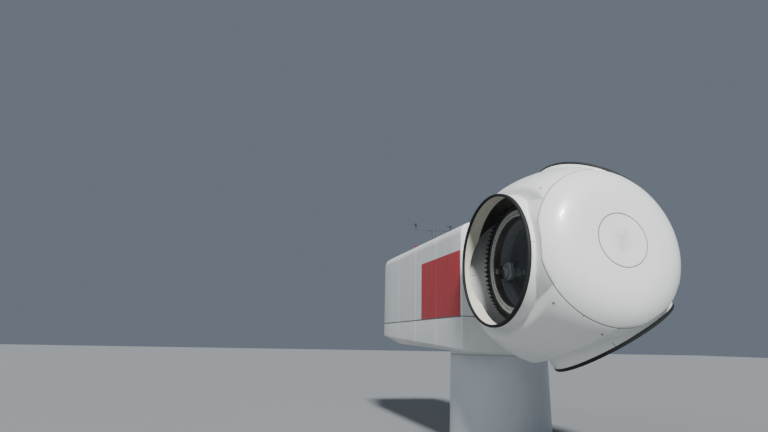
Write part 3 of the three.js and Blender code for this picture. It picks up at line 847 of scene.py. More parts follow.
@dataclass
class Spinner:
    """The spinner: nose dome, hatch, three segments, three collars with their lips, and the socket plugs."""

    form: SpinnerForm
    rotor: RotorFrame
    gelcoat: Material
    laminate: Material
    # Painted shade: the dark laminate for the inner faces beyond the collars
    shade_dark_laminate: Material
    sealant: Material
    rubber: Material
    dome_steps: tuple[int, int] = (408, 70)
    hatch_steps: tuple[int, int] = (180, 20)
    collar_steps: tuple[int, int] = (420, 24)
    segment_rows: int = 80
    tight: float = 0.25
    dome_edge: float = 1.1
    hatch_edge: float = 1.2
    lip_inner: float = 1.702
    lip_outer: float = 1.776
    lip_leg: float = 0.025
    lip_top: float = 2.29
    lip_gap: float = 0.0005
    joint_turns: tuple[float, float, float] = (0.0, math.radians(38), math.radians(38))
    joint_foot: float = 0.01
    bead: float = 0.016
    bead_depth: float = 0.003
    bead_height: float = 0.0025
    plug_polar: float = math.radians(52.5)
    plug_turn: float = math.radians(40)
    plug_radius: float = 0.032
    plug_depth: float = 0.01
    plug_height: float = 0.004
    plug_dish: float = 0.003

    def shell(self, direction_at: Callable[[np.ndarray, np.ndarray], np.ndarray], around: np.ndarray,
              start: np.ndarray, stop: np.ndarray, rows: int, edges: tuple[SeamEdge | None, SeamEdge | None],
              closed: bool = True) -> Shape:
        """Makes a piece of the spinner's wall, with its edges rounded over at the seams.

        Args:
            direction_at: Gives directions from an angle out and an angle round.
            around: The angle round of each column.
            start: The angle out at which each column starts.
            stop: The angle out at which each column ends.
            rows: Rows of faces across the piece.
            edges: How the start and the stop are rounded over, or none where they are plain.
            closed: Whether the columns close round.

        Returns:
            The piece.
        """
        reach = self.form.reach(direction_at((start + stop) / 2, around))
        room = 0.45 * (stop - start) * reach
        insets, shown = [], []
        for edge, side in zip(edges, (start, stop)):
            slant = np.minimum(np.hypot(1, np.gradient(side, around) / np.maximum(np.sin(side), 0.2)), 3)
            size = np.broadcast_to(edge.size if edge else 0.0, around.shape)
            insets.append(np.minimum((edge.width if edge else 0.0) * size * slant, room) / reach)
            shown.append(np.where(size > 0.5, Face.SEAM.value, Face.OUTSIDE.value))
        begin, end = start + insets[0], stop - insets[1]
        flush = np.zeros(around.shape)
        layout = [(begin + (end - begin) * share, flush) for share in np.linspace(0, 1, rows + 1)]
        if edges[0]:
            layout[:1] = [(start + insets[0] * far, deep * edges[0].size) for far, deep in edges[0].steps]
        if edges[1]:
            layout[-1:] = [(stop - insets[1] * far, deep * edges[1].size)
                           for far, deep in edges[1].steps[::-1]]
        outer = []
        for at, depth in layout:
            directions = direction_at(at, around)
            outer.append(directions * (self.form.reach(directions) - depth)[..., None])
        inner = []
        for share in np.linspace(1, 0, max(rows // 2, 2) + 1):
            directions = direction_at(start + (stop - start) * share, around)
            inner.append(directions * (self.form.reach(directions) - self.form.thickness)[..., None])
        strips = np.full((len(outer) + len(inner), around.size), Face.INSIDE.value)
        strips[:len(outer) - 1] = Face.OUTSIDE.value
        strips[[len(outer) - 1, -1]] = Face.SEAM.value
        strips[:2] = shown[0]
        strips[len(outer) - 3:len(outer) - 1] = shown[1]
        made = Shape()
        strips = strips if closed else strips[:, :-1]
        made.grid(np.array(outer + inner) + self.rotor.centre, strips, closed, True)
        return made

    def dome_limit(self, angle: np.ndarray) -> np.ndarray:
        """The dome's outline: the seam circle, cut in by the three collars.

        Args:
            angle: Angles round the nose.

        Returns:
            The angle from the nose at which the dome ends, at each.
        """
        form = self.form
        limit = np.full(angle.shape, form.seam_polar)
        for centre in self.rotor.centres:
            away = (angle - centre + math.pi) % TURN - math.pi
            one, two = math.sin(self.rotor.cone), math.cos(self.rotor.cone) * np.cos(away)
            ratio = math.cos(form.collar_seam + form.gap_angle) / np.hypot(one, two)
            collar = np.arctan2(two, one) - np.arccos(np.clip(ratio, -1, 1))
            limit = np.where(np.abs(away) < form.tip_angle, np.minimum(limit, collar), limit)
        return limit

    def segment_outline(self, port: int, steps: int = 60) -> tuple[np.ndarray, np.ndarray]:
        """A segment's outer edge about its port's axis.

        Args:
            port: The port's number, from 0.
            steps: Steps along each stretch of the edge.

        Returns:
            The turn and the polar angle of each point, in order of turn.
        """
        form, centre, gap = self.form, self.rotor.centres[port], self.form.gap_angle
        seam, rear, side = form.seam_polar + gap, form.rear_polar - gap, math.pi / 3 - gap
        share = np.linspace(0, 1, steps)
        polars = np.concatenate([
            np.full(steps, seam), seam + (rear - seam) * share[1:], np.full(steps - 1, rear)])
        angles = np.concatenate([form.tip_angle + (side - form.tip_angle) * share, np.full(steps - 1, side),
                                 side * (1 - share[1:])])
        polar, turn = self.rotor.in_port(port, self.rotor.from_nose(polars, centre + angles))
        turn = np.where(turn[len(turn) // 4] < 0, -1, 1) * turn
        turn = np.where(turn < -1e-6, turn + TURN, turn)
        turn, polar = turn[np.argsort(turn)], polar[np.argsort(turn)]
        turn[-1] = math.pi
        return np.concatenate([turn, TURN - turn[-2::-1]]), np.concatenate([polar, polar[-2::-1]])

    def build(self) -> None:
        """Makes all its pieces."""
        self.dome()
        self.nose_hatch()
        for port in range(3):
            self.segment(port)
            self.collar(port)
            self.collar_joints(port)
            self.lip(port)
        self.plugs()

    def deliver_wall(self, made: Shape, node: str, inside: Material) -> None:
        """Delivers a piece of the wall, with its inner face in a finish of its own."""
        made.deliver(node + "_shell", Body.ROTOR, Slot.GELCOAT, [self.gelcoat, inside, self.sealant], node)

    def dome(self) -> None:
        """Makes the nose dome."""
        columns, rows = self.dome_steps
        corners = [centre + side * self.form.tip_angle for centre in self.rotor.centres for side in (-1, 1)]
        angle = np.concatenate([steps_round(columns), np.mod(corners, TURN)])
        angle = np.unique(np.round(angle, 7))
        made = self.shell(
            self.rotor.from_nose, angle, np.full(angle.shape, self.form.hatch_polar), self.dome_limit(angle),
            rows, (SeamEdge(self.hatch_edge), SeamEdge(self.dome_edge)))
        # Its inner face takes the dark laminate, painted shade
        self.deliver_wall(made, "spinner_nose_dome", self.shade_dark_laminate)

    def nose_hatch(self) -> None:
        """Makes the round hatch in the nose."""
        columns, rows = self.hatch_steps
        angle = steps_round(columns)
        stop = np.full(angle.shape, self.form.hatch_polar - self.form.gap_angle)
        made = self.shell(self.rotor.from_nose, angle, np.zeros(angle.shape), stop, rows,
                          (None, SeamEdge(self.hatch_edge)))
        # Its inner face takes the dark laminate, painted shade
        self.deliver_wall(made, "nose_hatch", self.shade_dark_laminate)

    def segment(self, port: int) -> None:
        """Makes the segment round one port.

        Args:
            port: The port's number, from 0.
        """
        turn, polar = self.segment_outline(port)
        start = np.full(turn.shape, self.form.collar_seam + self.form.gap_angle)
        nose = np.arccos(np.clip(self.rotor.from_port(port, polar, turn) @ self.rotor.axis, -1, 1))
        open_seam = nose < self.form.seam_polar + 3 * self.form.gap_angle
        made = self.shell(partial(self.rotor.from_port, port), turn, start,
                          np.maximum(polar, start + 1e-6), self.segment_rows,
                          (SeamEdge(self.tight), SeamEdge(np.where(open_seam, self.dome_edge, self.tight))),
                          closed=False)
        # Its inner face takes the dark laminate, painted shade
        self.deliver_wall(made, f"spinner_segment_{port + 1}", self.shade_dark_laminate)

    def collar(self, port: int) -> None:
        """Makes the collar of one port.

        Args:
            port: The port's number, from 0.
        """
        columns, rows = self.collar_steps
        turn = steps_round(columns)
        start = np.full(turn.shape, math.atan2(self.form.collar_radius, self.form.collar_top))
        stop = np.full(turn.shape, self.form.collar_seam)
        made = self.shell(partial(self.rotor.from_port, port), turn, start, stop, rows,
                          (None, SeamEdge(self.tight)))
        self.deliver_wall(made, f"port_collar_{port + 1}", self.laminate)

    def collar_joints(self, port: int) -> None:
        """Makes the two beads of sealant where the halves of one collar meet.

        Args:
            port: The port's number, from 0.
        """
        form, made = self.form, Shape()
        for turn, foot in ((self.joint_turns[port], form.saddle_height + self.joint_foot),
                           (self.joint_turns[port] + math.pi, form.pad_height + 2 * self.joint_foot)):
            made.box((form.collar_radius - self.bead_depth, -self.bead / 2, foot),
                     (form.collar_radius + self.bead_height, self.bead / 2, form.collar_top - self.lip_leg),
                     0.001, self.rotor.port_places[port] @ np.array(Matrix.Rotation(turn, 4, "Z")))
        made.deliver(f"port_collar_{port + 1}_joint_sealant", Body.ROTOR, Slot.RUBBER, [self.sealant])

    def lip(self, port: int) -> None:
        """Makes the rubber lip of one port: a bulb on the collar's top, with a leg outside its wall.

        Args:
            port: The port's number, from 0.
        """
        foot, grip = self.form.collar_top + self.lip_gap, self.form.collar_radius + self.lip_gap
        bulb = 0.98 * (self.lip_outer - self.lip_inner) / 2
        made = Shape()
        made.turned([
            (self.lip_inner + 0.012, foot, 0.004), (grip, foot, 0.0), (grip, foot - self.lip_leg, 0.002),
            (self.lip_outer, foot - self.lip_leg, 0.003), (self.lip_outer, self.lip_top, bulb),
            (self.lip_inner, self.lip_top, bulb), (self.lip_inner, foot + 0.025, 0.01)],
            self.rotor.port_places[port], 240, closed=True, steps=6)
        made.deliver(f"port_lip_{port + 1}_seal", Body.ROTOR, Slot.RUBBER, [self.rubber],
                     f"port_lip_{port + 1}")

    def plugs(self) -> None:
        """Makes the dished plugs of the lifting sockets, two beside each port on its nose side."""
        wide, head, dish = self.plug_radius, self.plug_height, self.plug_height - self.plug_dish
        corners = [(0, -self.plug_depth, 0), (wide, -self.plug_depth, 0.001), (wide, head, 0.003),
                   (0.6 * wide, head, 0.002), (0.5 * wide, dish, 0.002), (0, dish, 0)]
        step = 0.01
        made = Shape()
        for port in range(3):
            for side in (-1, 1):
                directions = self.rotor.from_port(port, self.plug_polar + np.array((0.0, step, 0.0)),
                                                  side * self.plug_turn + np.array((0.0, 0.0, step)))
                at, lower, beside_it = directions * self.form.reach(directions)[:, None]
                out = np.cross(lower - at, beside_it - at)
                out *= np.sign(out @ at)
                made.turned(corners, placing(out, self.rotor.axis, at + self.rotor.centre), 40)
        made.deliver("spinner_lifting_plugs", Body.ROTOR, Slot.RUBBER, [self.sealant])


# Repeats


@dataclass(frozen=True)
class HexBolt:
    """A hexagon head or nut on a washer, with the stud's end where it has one. Sizes in metres."""

    across: float = 0.055
    head: float = 0.028
    washer: float = 0.006
    stud: float = 0.0

    def shape(self, place: np.ndarray) -> Shape:
        """Makes one bolt on a face.

        Args:
            place: Its placing, whose third axis points out of the face.

        Returns:
            The bolt.
        """
        corner, bevel, top = self.across / math.sqrt(3), 0.05 * self.across, self.washer + self.head
        stages = [(1.18 * corner, 0, self.washer, 0, 0, 14), (corner, self.washer, top, bevel, 2 * bevel, 6)]
        if self.stud:
            stages.append((0.27 * self.across, top, top + self.stud, bevel, bevel, 10))
        made = Shape()
        for radius, foot, end, drop, inset, sides in stages:
            made.lathe([(0, foot), (radius, foot), (radius, end - drop), (radius - inset, end), (0, end)],
                       place, sides)
        return made


class Repeater:
    """One Geometry Nodes tree that repeats a small piece along a row or round a ring."""

    def __init__(self) -> None:
        """Builds the tree: points, a copy of the piece on each, then one mesh in one material."""
        tree = bpy.data.node_groups.new("Repeated piece", "GeometryNodeTree")
        tree.interface.new_socket("Mesh", in_out="OUTPUT", socket_type="NodeSocketGeometry")
        kinds = {"Piece": "Object", "Count": "Int", "Step": "Vector", "Turn": "Vector",
                 "Material": "Material"}
        self.sockets = {
            name: tree.interface.new_socket(name, in_out="INPUT", socket_type=f"NodeSocket{kind}").identifier
            for name, kind in kinds.items()}
        given = add_node(tree, "NodeGroupInput").outputs
        piece = add_node(tree, "GeometryNodeObjectInfo", {"Object": given["Piece"]})
        places = add_node(tree, "GeometryNodeMeshLine", {"Count": given["Count"], "Offset": given["Step"]})
        number = add_node(tree, "GeometryNodeInputIndex")
        turn = add_node(tree, "ShaderNodeVectorMath", {
            0: given["Turn"], "Scale": number.outputs[0]}, operation="SCALE")
        copies = add_node(tree, "GeometryNodeInstanceOnPoints", {
            "Points": places.outputs["Mesh"], "Instance": piece.outputs["Geometry"],
            "Rotation": turn.outputs["Vector"]})
        real = add_node(tree, "GeometryNodeRealizeInstances", {"Geometry": copies.outputs["Instances"]})
        joined = add_node(tree, "GeometryNodeMergeByDistance", {
            "Geometry": real.outputs["Geometry"], "Distance": MERGE})
        painted = add_node(tree, "GeometryNodeSetMaterial", {
            "Geometry": joined.outputs["Geometry"], "Material": given["Material"]})
        add_node(tree, "NodeGroupOutput", {"Mesh": painted.outputs["Geometry"]})
        self.tree = tree

    def copies(self, piece: Shape, count: int, material: Material, step: Sequence[float] = (0, 0, 0),
               turn: float = 0.0, place: np.ndarray | None = None) -> Mesh:
        """Repeats a piece.

        Args:
            piece: The piece, where its first copy lies.
            count: The number of copies.
            material: Their material.
            step: The way from one copy to the next.
            turn: The angle about the third axis from one copy to the next.
            place: Where the whole set lies, or none where it lies in the part's frame.

        Returns:
            The copies as one plain mesh.
        """
        source = placed("repeated", piece.mesh("repeated"))
        holder = placed("holder", bpy.data.meshes.new("holder"))
        modifier = holder.modifiers.new("copies", "NODES")
        modifier.node_group = self.tree
        values = {"Piece": source, "Count": count, "Step": tuple(float(s) for s in step),
                  "Turn": (0.0, 0.0, float(turn)), "Material": material}
        for name, value in values.items():
            modifier[self.sockets[name]] = value
        shown = holder.evaluated_get(bpy.context.evaluated_depsgraph_get())
        mesh = bpy.data.meshes.new_from_object(shown)
        holder.modifiers.clear()
        for used in (holder, source):
            bpy.data.objects.remove(used)
        if place is not None:
            mesh.transform(Matrix(place.tolist()))
        return mesh

    def bolts(self, bolt: HexBolt, count: int, radius: float, material: Material, place: np.ndarray,
              first: float = 0.0) -> Mesh:
        """Sets bolts round a circle.

        Args:
            bolt: The bolt.
            count: The number of bolts.
            radius: The circle's radius.
            material: Their material.
            place: The placing of the circle: its centre, on the face, and its axis.
            first: The angle of the first one.

        Returns:
            The bolts as one plain mesh.
        """
        at = np.eye(4)
        at[:3, 3] = (radius * math.cos(first), radius * math.sin(first), 0)
        return self.copies(bolt.shape(at), count, material, turn=TURN / count, place=place)


# Blade bearings


@dataclass
class BladeBearing:
    """One blade bearing: an outer race bolted to the hub, and a moving race with teeth and stud holes."""

    number: int
    place: np.ndarray
    repeat: Repeater
    race: Material
    # Partly painted shade: the charcoal finish of the outer race and its nuts
    phosphate_and_shade: Material
    gear: Material
    rubber: Material
    outer: tuple[float, float] = (1.44, 1.62)
    inner: tuple[float, float] = (1.22, 1.425)
    foot: float = 1.3005
    top: float = 1.54
    edge: float = 0.006
    teeth: int = 216
    columns_per_tooth: int = 4
    tooth_depth: float = 0.026
    tooth_heights: tuple[float, float] = (1.318, 1.512)
    hole_count: int = 72
    hole_circle: float = 1.322
    hole_radius: float = 0.029
    hole_depth: float = 0.12
    hole_band: tuple[float, float] = (1.264, 1.382)
    bolt_circle: float = 1.54
    bolt_count: int = 72
    nut: HexBolt = HexBolt(0.07, 0.056, 0.008, 0.05)
    seal_gap: float = 0.0012

    def build(self) -> None:
        """Makes the bearing's pieces."""
        self.outer_race()
        self.moving_race()
        self.lip_seal()

    def outer_race(self) -> None:
        """Makes the still race and the nuts that hold it to the hub."""
        (near, far), top, soft = self.outer, self.top, 0.004
        waist, groove = 0.5 * (self.foot + top), far - 0.012
        made = Shape()
        made.turned([
            (near, self.foot, 0.002), (far, self.foot, self.edge), (far, waist - 0.03, soft),
            (groove, waist - 0.012, soft), (groove, waist + 0.012, soft), (far, waist + 0.03, soft),
            (far, top, self.edge), (near + 0.02, top, 0.002), (near + 0.02, top - 0.008, 0.002),
            (near, top - 0.008, 0.002)], self.place, 216, closed=True, steps=3)
        # The charcoal race and nuts are partly painted shade
        made.deliver(f"blade_bearing_outer_race_{self.number}_ring", Body.ROTOR, Slot.BEARING,
                     [self.phosphate_and_shade], f"blade_bearing_outer_race_{self.number}")
        nuts = Shape()
        nuts.join(self.repeat.bolts(self.nut, self.bolt_count, self.bolt_circle, self.phosphate_and_shade,
                                    self.place @ shifted(0, top), math.pi / self.bolt_count))
        nuts.deliver(f"blade_bearing_nuts_{self.number}", Body.ROTOR, Slot.DARK, [self.phosphate_and_shade])

    def moving_race(self) -> None:
        """Makes the moving race: its section turned round the axis, teeth inside and stud holes on top."""
        columns = self.teeth * self.columns_per_tooth
        (tip, far), root, (low, high) = self.inner, self.inner[0] + self.tooth_depth, self.tooth_heights
        wave = np.where(np.arange(columns) % self.columns_per_tooth < self.columns_per_tooth // 2, tip, root)
        made = Shape()
        made.lathe([
            (self.hole_band[0], self.top), (root + self.edge, self.top), (root, self.top - self.edge),
            (root, high), (wave, high), (wave, low), (root, low), (root, self.foot), (far, self.foot),
            (far, self.top - self.edge), (far - self.edge, self.top), (self.hole_band[1], self.top)],
            self.place, columns, [0, 0, 1, 1, 1, 1, 1, 1, 0, 0, 0])
        made.join(self.repeat.copies(self.stud_hole(columns // self.hole_count), self.hole_count, self.race,
                                     turn=TURN / self.hole_count, place=self.place))
        made.deliver(f"blade_bearing_inner_race_{self.number}_ring", Body(f"pitch_{self.number}"),
                     Slot.BEARING, [self.race, self.gear], f"blade_bearing_inner_race_{self.number}")

    def stud_hole(self, columns: int) -> Shape:
        """Makes one sector of the moving race's face with its stud hole.

        Args:
            columns: Steps along the sector's arcs, as many as the race has there.

        Returns:
            The sector, which starts at the first angle.
        """
        near, far = self.hole_band
        width = TURN / self.hole_count
        side_steps = 4
        arc = np.arange(columns) / columns * width
        across = near + (far - near) * np.arange(side_steps) / side_steps
        radius = np.concatenate([np.full(columns, far), across[::-1] + (far - near) / side_steps,
                                 np.full(columns, near), across])
        angle = np.concatenate([arc, np.full(side_steps, width), width - arc, np.zeros(side_steps)])
        border = radius[:, None] * round_points(angle)
        centre = self.hole_circle * np.array((math.cos(width / 2), math.sin(width / 2)))
        bearing = np.arctan2(*(border - centre).T[::-1])
        spoke = round_points(bearing)
        rim = centre + spoke * self.hole_radius
        wide = centre + spoke * (self.hole_radius + 0.003)
        middle = 0.5 * (border + wide)
        rows = [(border, self.top), (middle, self.top), (wide, self.top), (rim, self.top - 0.003),
                (rim, self.top - self.hole_depth), (centre + 0 * rim, self.top - self.hole_depth)]
        made = Shape()
        made.grid(np.array([level(*row) for row in rows]))
        return made

    def lip_seal(self) -> None:
        """Makes the rubber seal that closes the gap between the races."""
        near, far = self.inner[1] + self.seal_gap, self.outer[0] - self.seal_gap
        low, head = self.top - 0.045, self.top - 0.004
        made = Shape()
        made.turned([(near, low, 0.002), (far, low, 0.002), (far, head, 0.003), (near + 0.006, head, 0.003),
                     (near, head - 0.01, 0.003)], self.place, 160, closed=True, steps=3)
        made.deliver(f"blade_bearing_seal_{self.number}", Body.ROTOR, Slot.RUBBER, [self.rubber])


# Pitch drives


@dataclass
class PitchDrive:
    """A drive that turns one blade: motor, gearbox, flange on its lug, and pinion beside the race."""

    number: int
    port_place: np.ndarray
    repeat: Repeater
    enamel: Material
    gear: Material
    bolt: Material
    offset: float = -1.13
    radius: float = 0.15
    inner_end: float = 0.45
    flange_radius: float = 0.2
    flange: tuple[float, float] = (1.2003, 1.24)
    shaft_radius: float = 0.05
    pinion_radius: float = 0.085
    pinion: tuple[float, float] = (1.31, 1.5)
    pinion_teeth: int = 13
    pinion_tooth: float = 0.024
    fins: int = 28
    lug_heights: tuple[float, float] = (1.06, 1.2)
    lug_offsets: tuple[float, float] = (-1.33, -0.86)
    lug_width: float = 0.52
    clearance: float = 0.005
    motor_bolts: HexBolt = HexBolt(0.016, 0.01, 0.002)
    flange_bolts: HexBolt = HexBolt(0.03, 0.018, 0.004)

    @property
    def place(self) -> np.ndarray:
        """The placing of the drive's axis."""
        return self.port_place @ shifted(self.offset)

    def build(self) -> None:
        """Makes the drive."""
        place, wide, end, (foot, head) = self.place, self.radius, self.inner_end, self.flange
        made = Shape()
        made.turned([
            (0, end, 0), (0.118, end, 0.02), (0.118, end + 0.05, 0.004), (0.11, end + 0.055, 0.004),
            (0.11, end + 0.30, 0.004), (0.132, end + 0.305, 0.004), (0.132, end + 0.335, 0.004),
            (0.12, end + 0.34, 0.004), (0.125, end + 0.37, 0.01), (wide, end + 0.40, 0.006),
            (wide, end + 0.425, 0.006), (0.14, end + 0.43, 0.004), (0.14, end + 0.52, 0.004),
            (wide, end + 0.525, 0.004), (wide, end + 0.55, 0.004), (0.144, end + 0.555, 0.004),
            (0.144, foot, 0.004), (self.flange_radius, foot, 0.003), (self.flange_radius, head, 0.005),
            (0.115, head, 0.004), (0.105, head + 0.03, 0.006), (0.06, head + 0.03, 0.004),
            (self.shaft_radius, head + 0.034, 0), (self.shaft_radius, self.pinion[0], 0),
            (0.0, self.pinion[0], 0)], place, 72, steps=3)
        fin = Shape()
        fin.box((0.105, -0.0025, end + 0.06), (0.128, 0.0025, end + 0.295), 0.001)
        made.join(self.repeat.copies(fin, self.fins, self.enamel, turn=TURN / self.fins, place=place))
        made.box((0.09, -0.05, end + 0.12), (0.165, 0.05, end + 0.24), 0.006, place)
        for bolt, count, circle, height in ((self.flange_bolts, 16, 0.178, head),
                                            (self.motor_bolts, 18, 0.1415, end + 0.425)):
            made.join(self.repeat.bolts(bolt, count, circle, self.bolt, place @ shifted(0, height)), 1)
        self.add_pinion(made)
        made.deliver(f"pitch_drive_{self.number}_assembly", Body.ROTOR, Slot.CASTING,
                     [self.enamel, self.bolt, self.gear], f"pitch_drive_{self.number}")

    def add_pinion(self, made: Shape) -> None:
        """Adds the toothed pinion and the disc that holds it on its shaft.

        Args:
            made: The drive's shape.
        """
        steps, edge, disc, bore = 6, 0.003, 0.01, 0.045
        columns, (foot, top) = self.pinion_teeth * steps, self.pinion
        share = np.abs((np.arange(columns) % steps) / steps - 0.5) * 2
        wave = self.pinion_radius - self.pinion_tooth * np.clip((share - 0.3) / 0.4, 0, 1)
        end = top - disc
        made.lathe([(0, foot), (wave - edge, foot), (wave, foot + edge), (wave, end - edge),
                    (wave - edge, end), (bore, end), (bore, top), (0, top)], self.place, columns, 2)

    def lug(self, made: Shape) -> None:
        """Adds the bored lug that the drive stands in.

        Args:
            made: The shape of the hub's lugs.
        """
        (low, high), (far, near) = self.lug_heights, self.lug_offsets
        half, corner = self.lug_width / 2, 0.14
        outline = rounded([
            (near - self.offset, -half, corner), (near - self.offset, half, corner),
            (far - self.offset, half, 0), (far - self.offset, -half, 0)], steps=12)
        spoke = round_points(steps_round(96))
        side = np.roll(outline, -1, 0) - outline
        turning = outline[:, 0] * side[:, 1] - outline[:, 1] * side[:, 0]
        reach = []
        for ray in spoke:
            with np.errstate(divide="ignore", invalid="ignore"):
                cross = ray[0] * side[:, 1] - ray[1] * side[:, 0]
                at, along = turning / cross, (outline[:, 0] * ray[1] - outline[:, 1] * ray[0]) / cross
            met = (at > 0) & (along >= -TINY) & (along <= 1 + TINY)
            reach.append(np.min(at[met]))
        reach, soft = np.array(reach)[:, None], 0.02
        rim, drawn, hole = reach * spoke, (reach - soft) * spoke, (self.radius + self.clearance) * spoke
        rows = ((hole, low), (drawn, low), (rim, low + soft), (rim, high - soft), (drawn, high), (hole, high))
        made.grid(moved(np.array([level(*row) for row in rows]), self.place), round_rows=True)


# Hub casting


@dataclass
class HubCasting:
    """The cast hub: a shell with a machined flange at each port, lugs for the drives, and a rear neck."""

    rotor: RotorFrame
    drives: Sequence[PitchDrive]
    paint: Material
    sphere: float = 1.7
    wall: float = 0.15
    flange_radius: float = 1.64
    flange_height: float = 1.3
    flange_thickness: float = 0.2
    cone: tuple[float, float] = (1.34, 0.5)
    bore: float = 1.2
    front_x: float = 1.48
    front_opening: float = 0.56
    neck_radius: float = 0.9
    rear_x: float = 1.72
    fillet: float = 0.09
    chamfer: float = 0.012
    lap: tuple[float, ...] = (0.1, 0.25, 0.4)
    underside: tuple[float, ...] = (56.9, 57.7, 58.5, 59.3)
    columns: int = 240
    rows: int = 16
    halvings: int = 44

    @property
    def opening(self) -> float:
        """The front opening's angle from the nose."""
        return math.atan2(self.front_opening, self.front_x)

    def outer_reach(self, directions: np.ndarray) -> np.ndarray:
        """The distance to the outer surface.

        Args:
            directions: Directions from the hub centre.

        Returns:
            The distance in each direction.
        """
        nose = directions @ self.rotor.axis
        front = np.minimum(self.sphere, self.front_x / np.maximum(nose, 0.5))
        found = np.where(nose > 0.5, front, self.sphere)
        side = np.sqrt(np.clip(1 - nose ** 2, TINY, None))
        neck = np.minimum(self.neck_radius / side, self.rear_x / np.maximum(-nose, 0.3))
        found = np.where(nose < -0.3, smooth_max(found, neck, self.fillet), found)
        foot = self.flange_height - self.flange_thickness
        corner = math.atan2(self.flange_radius, foot)
        slope = (self.flange_radius - self.cone[0]) / (foot - self.cone[1])
        start = self.cone[0] - slope * self.cone[1]
        edge = self.flange_radius + self.flange_height - self.chamfer
        for axis in self.rotor.ports:
            height = directions @ axis
            across = np.sqrt(np.clip(1 - height ** 2, TINY, None))
            polar = np.arctan2(across, height)
            ahead = np.maximum(height, 0.2)
            flange = np.minimum.reduce([
                self.flange_height / ahead, self.flange_radius / across, edge / (across + ahead),
                start / np.maximum(across - slope * ahead, 1e-3)])
            softness = self.fillet * np.clip((polar - corner) / math.radians(2), 0, 1)
            flange = np.where(polar < corner, flange, smooth_max(found, flange, softness))
            found = np.where(polar < math.radians(66), flange, found)
        return found

    def inner_reach(self, directions: np.ndarray) -> np.ndarray:
        """The distance to the inner surface.

        Args:
            directions: Directions from the hub centre.

        Returns:
            The distance in each direction.
        """
        nose = directions @ self.rotor.axis
        side = np.sqrt(np.clip(1 - nose ** 2, TINY, None))
        found = np.full(nose.shape, self.sphere - self.wall)
        found = np.where(nose > 0.5, smooth_max(found, self.front_opening / side, 0.01), found)
        for axis in self.rotor.ports:
            height = directions @ axis
            across = np.sqrt(np.clip(1 - height ** 2, TINY, None))
            found = np.where(height > 0, smooth_max(found, self.bore / across, 0.02), found)
        return found

    def border(self, port: int, turn: np.ndarray) -> np.ndarray:
        """Where one port's share of the hub ends.

        Args:
            port: The port's number, from 0.
            turn: Turns round its axis.

        Returns:
            The polar angle about its axis at each turn.
        """
        inner, outer = np.full(turn.shape, math.radians(50)), np.full(turn.shape, math.radians(100))
        for _ in range(self.halvings):
            middle = (inner + outer) / 2
            directions = self.rotor.from_port(port, middle, turn)
            along = directions @ self.rotor.axis
            angle = np.arctan2(directions @ self.rotor.up, directions @ self.rotor.across)
            away = np.abs((angle - self.rotor.centres[port] + math.pi) % TURN - math.pi)
            within = (away < math.pi / 3) & (along < math.cos(self.opening))
            inner, outer = np.where(within, middle, inner), np.where(within, outer, middle)
        return inner

    def sector(self, port: int, made: Shape) -> None:
        """Adds one port's share of the hub to its shape.

        Args:
            port: The port's number, from 0.
            made: The hub's shape.
        """
        side = self.rotor.centres[port] + math.pi / 3
        corner = self.rotor.from_nose(np.array(self.opening), np.array(side))
        corner_turn = abs(float(self.rotor.in_port(port, corner)[1]))
        turn = np.append(steps_round(self.columns), [corner_turn, TURN - corner_turn])
        turn.sort()
        head, wide = self.flange_height, self.flange_radius
        foot = head - self.flange_thickness
        cuts = [math.atan2(radius, height) for radius, height in (
            (self.bore, head), *((self.bore + far, head) for far in self.lap), (wide - self.chamfer, head),
            (wide, head - self.chamfer), (wide, foot + 0.1), (wide, foot))]
        cuts += [math.radians(angle) for angle in self.underside]
        limit = self.border(port, turn)
        polars = [np.full(turn.shape, cut) for cut in cuts]
        polars += [cuts[-1] + (limit - cuts[-1]) * share for share in np.linspace(0, 1, self.rows + 1)[1:]]
        directions = np.array([self.rotor.from_port(port, polar, turn) for polar in polars])
        outer = directions * self.outer_reach(directions)[..., None]
        inner = directions * self.inner_reach(directions)[..., None]
        inner[0] = outer[0]
        at_opening = np.abs(directions[-1] @ self.rotor.axis - math.cos(self.opening)) < 1e-6
        inner[-1] = np.where(at_opening[:, None], outer[-1], inner[-1])
        made.grid(outer + self.rotor.centre)
        made.grid(inner[::-1] + self.rotor.centre)

    def build(self) -> None:
        """Makes the casting, and bores it for the drives."""
        made = Shape()
        for port in range(3):
            self.sector(port, made)
        casting = placed("casting", made.mesh("casting"))
        lugs, pockets = Shape(), Shape()
        for drive in self.drives:
            drive.lug(lugs)
            wide, seat = drive.radius + drive.clearance, drive.flange_radius + drive.clearance
            head = drive.lug_heights[1]
            pockets.lathe([(0, 0.3), (wide, 0.3), (wide, head), (seat, head), (seat, 1.6), (0, 1.6)],
                          drive.place, 72)
        cutter = placed("pockets", pockets.mesh("pockets"))
        cut = casting.modifiers.new("pockets", "BOOLEAN")
        cut.object, cut.operation, cut.solver = cutter, "DIFFERENCE", "EXACT"
        mesh = bpy.data.meshes.new_from_object(casting.evaluated_get(bpy.context.evaluated_depsgraph_get()))
        for used in (casting, cutter):
            bpy.data.objects.remove(used)
        whole = Shape()
        whole.join(mesh)
        whole.join(lugs.mesh("lugs"))
        whole.deliver("hub_casting_shell", Body.ROTOR, Slot.CASTING, [self.paint], "hub_casting")


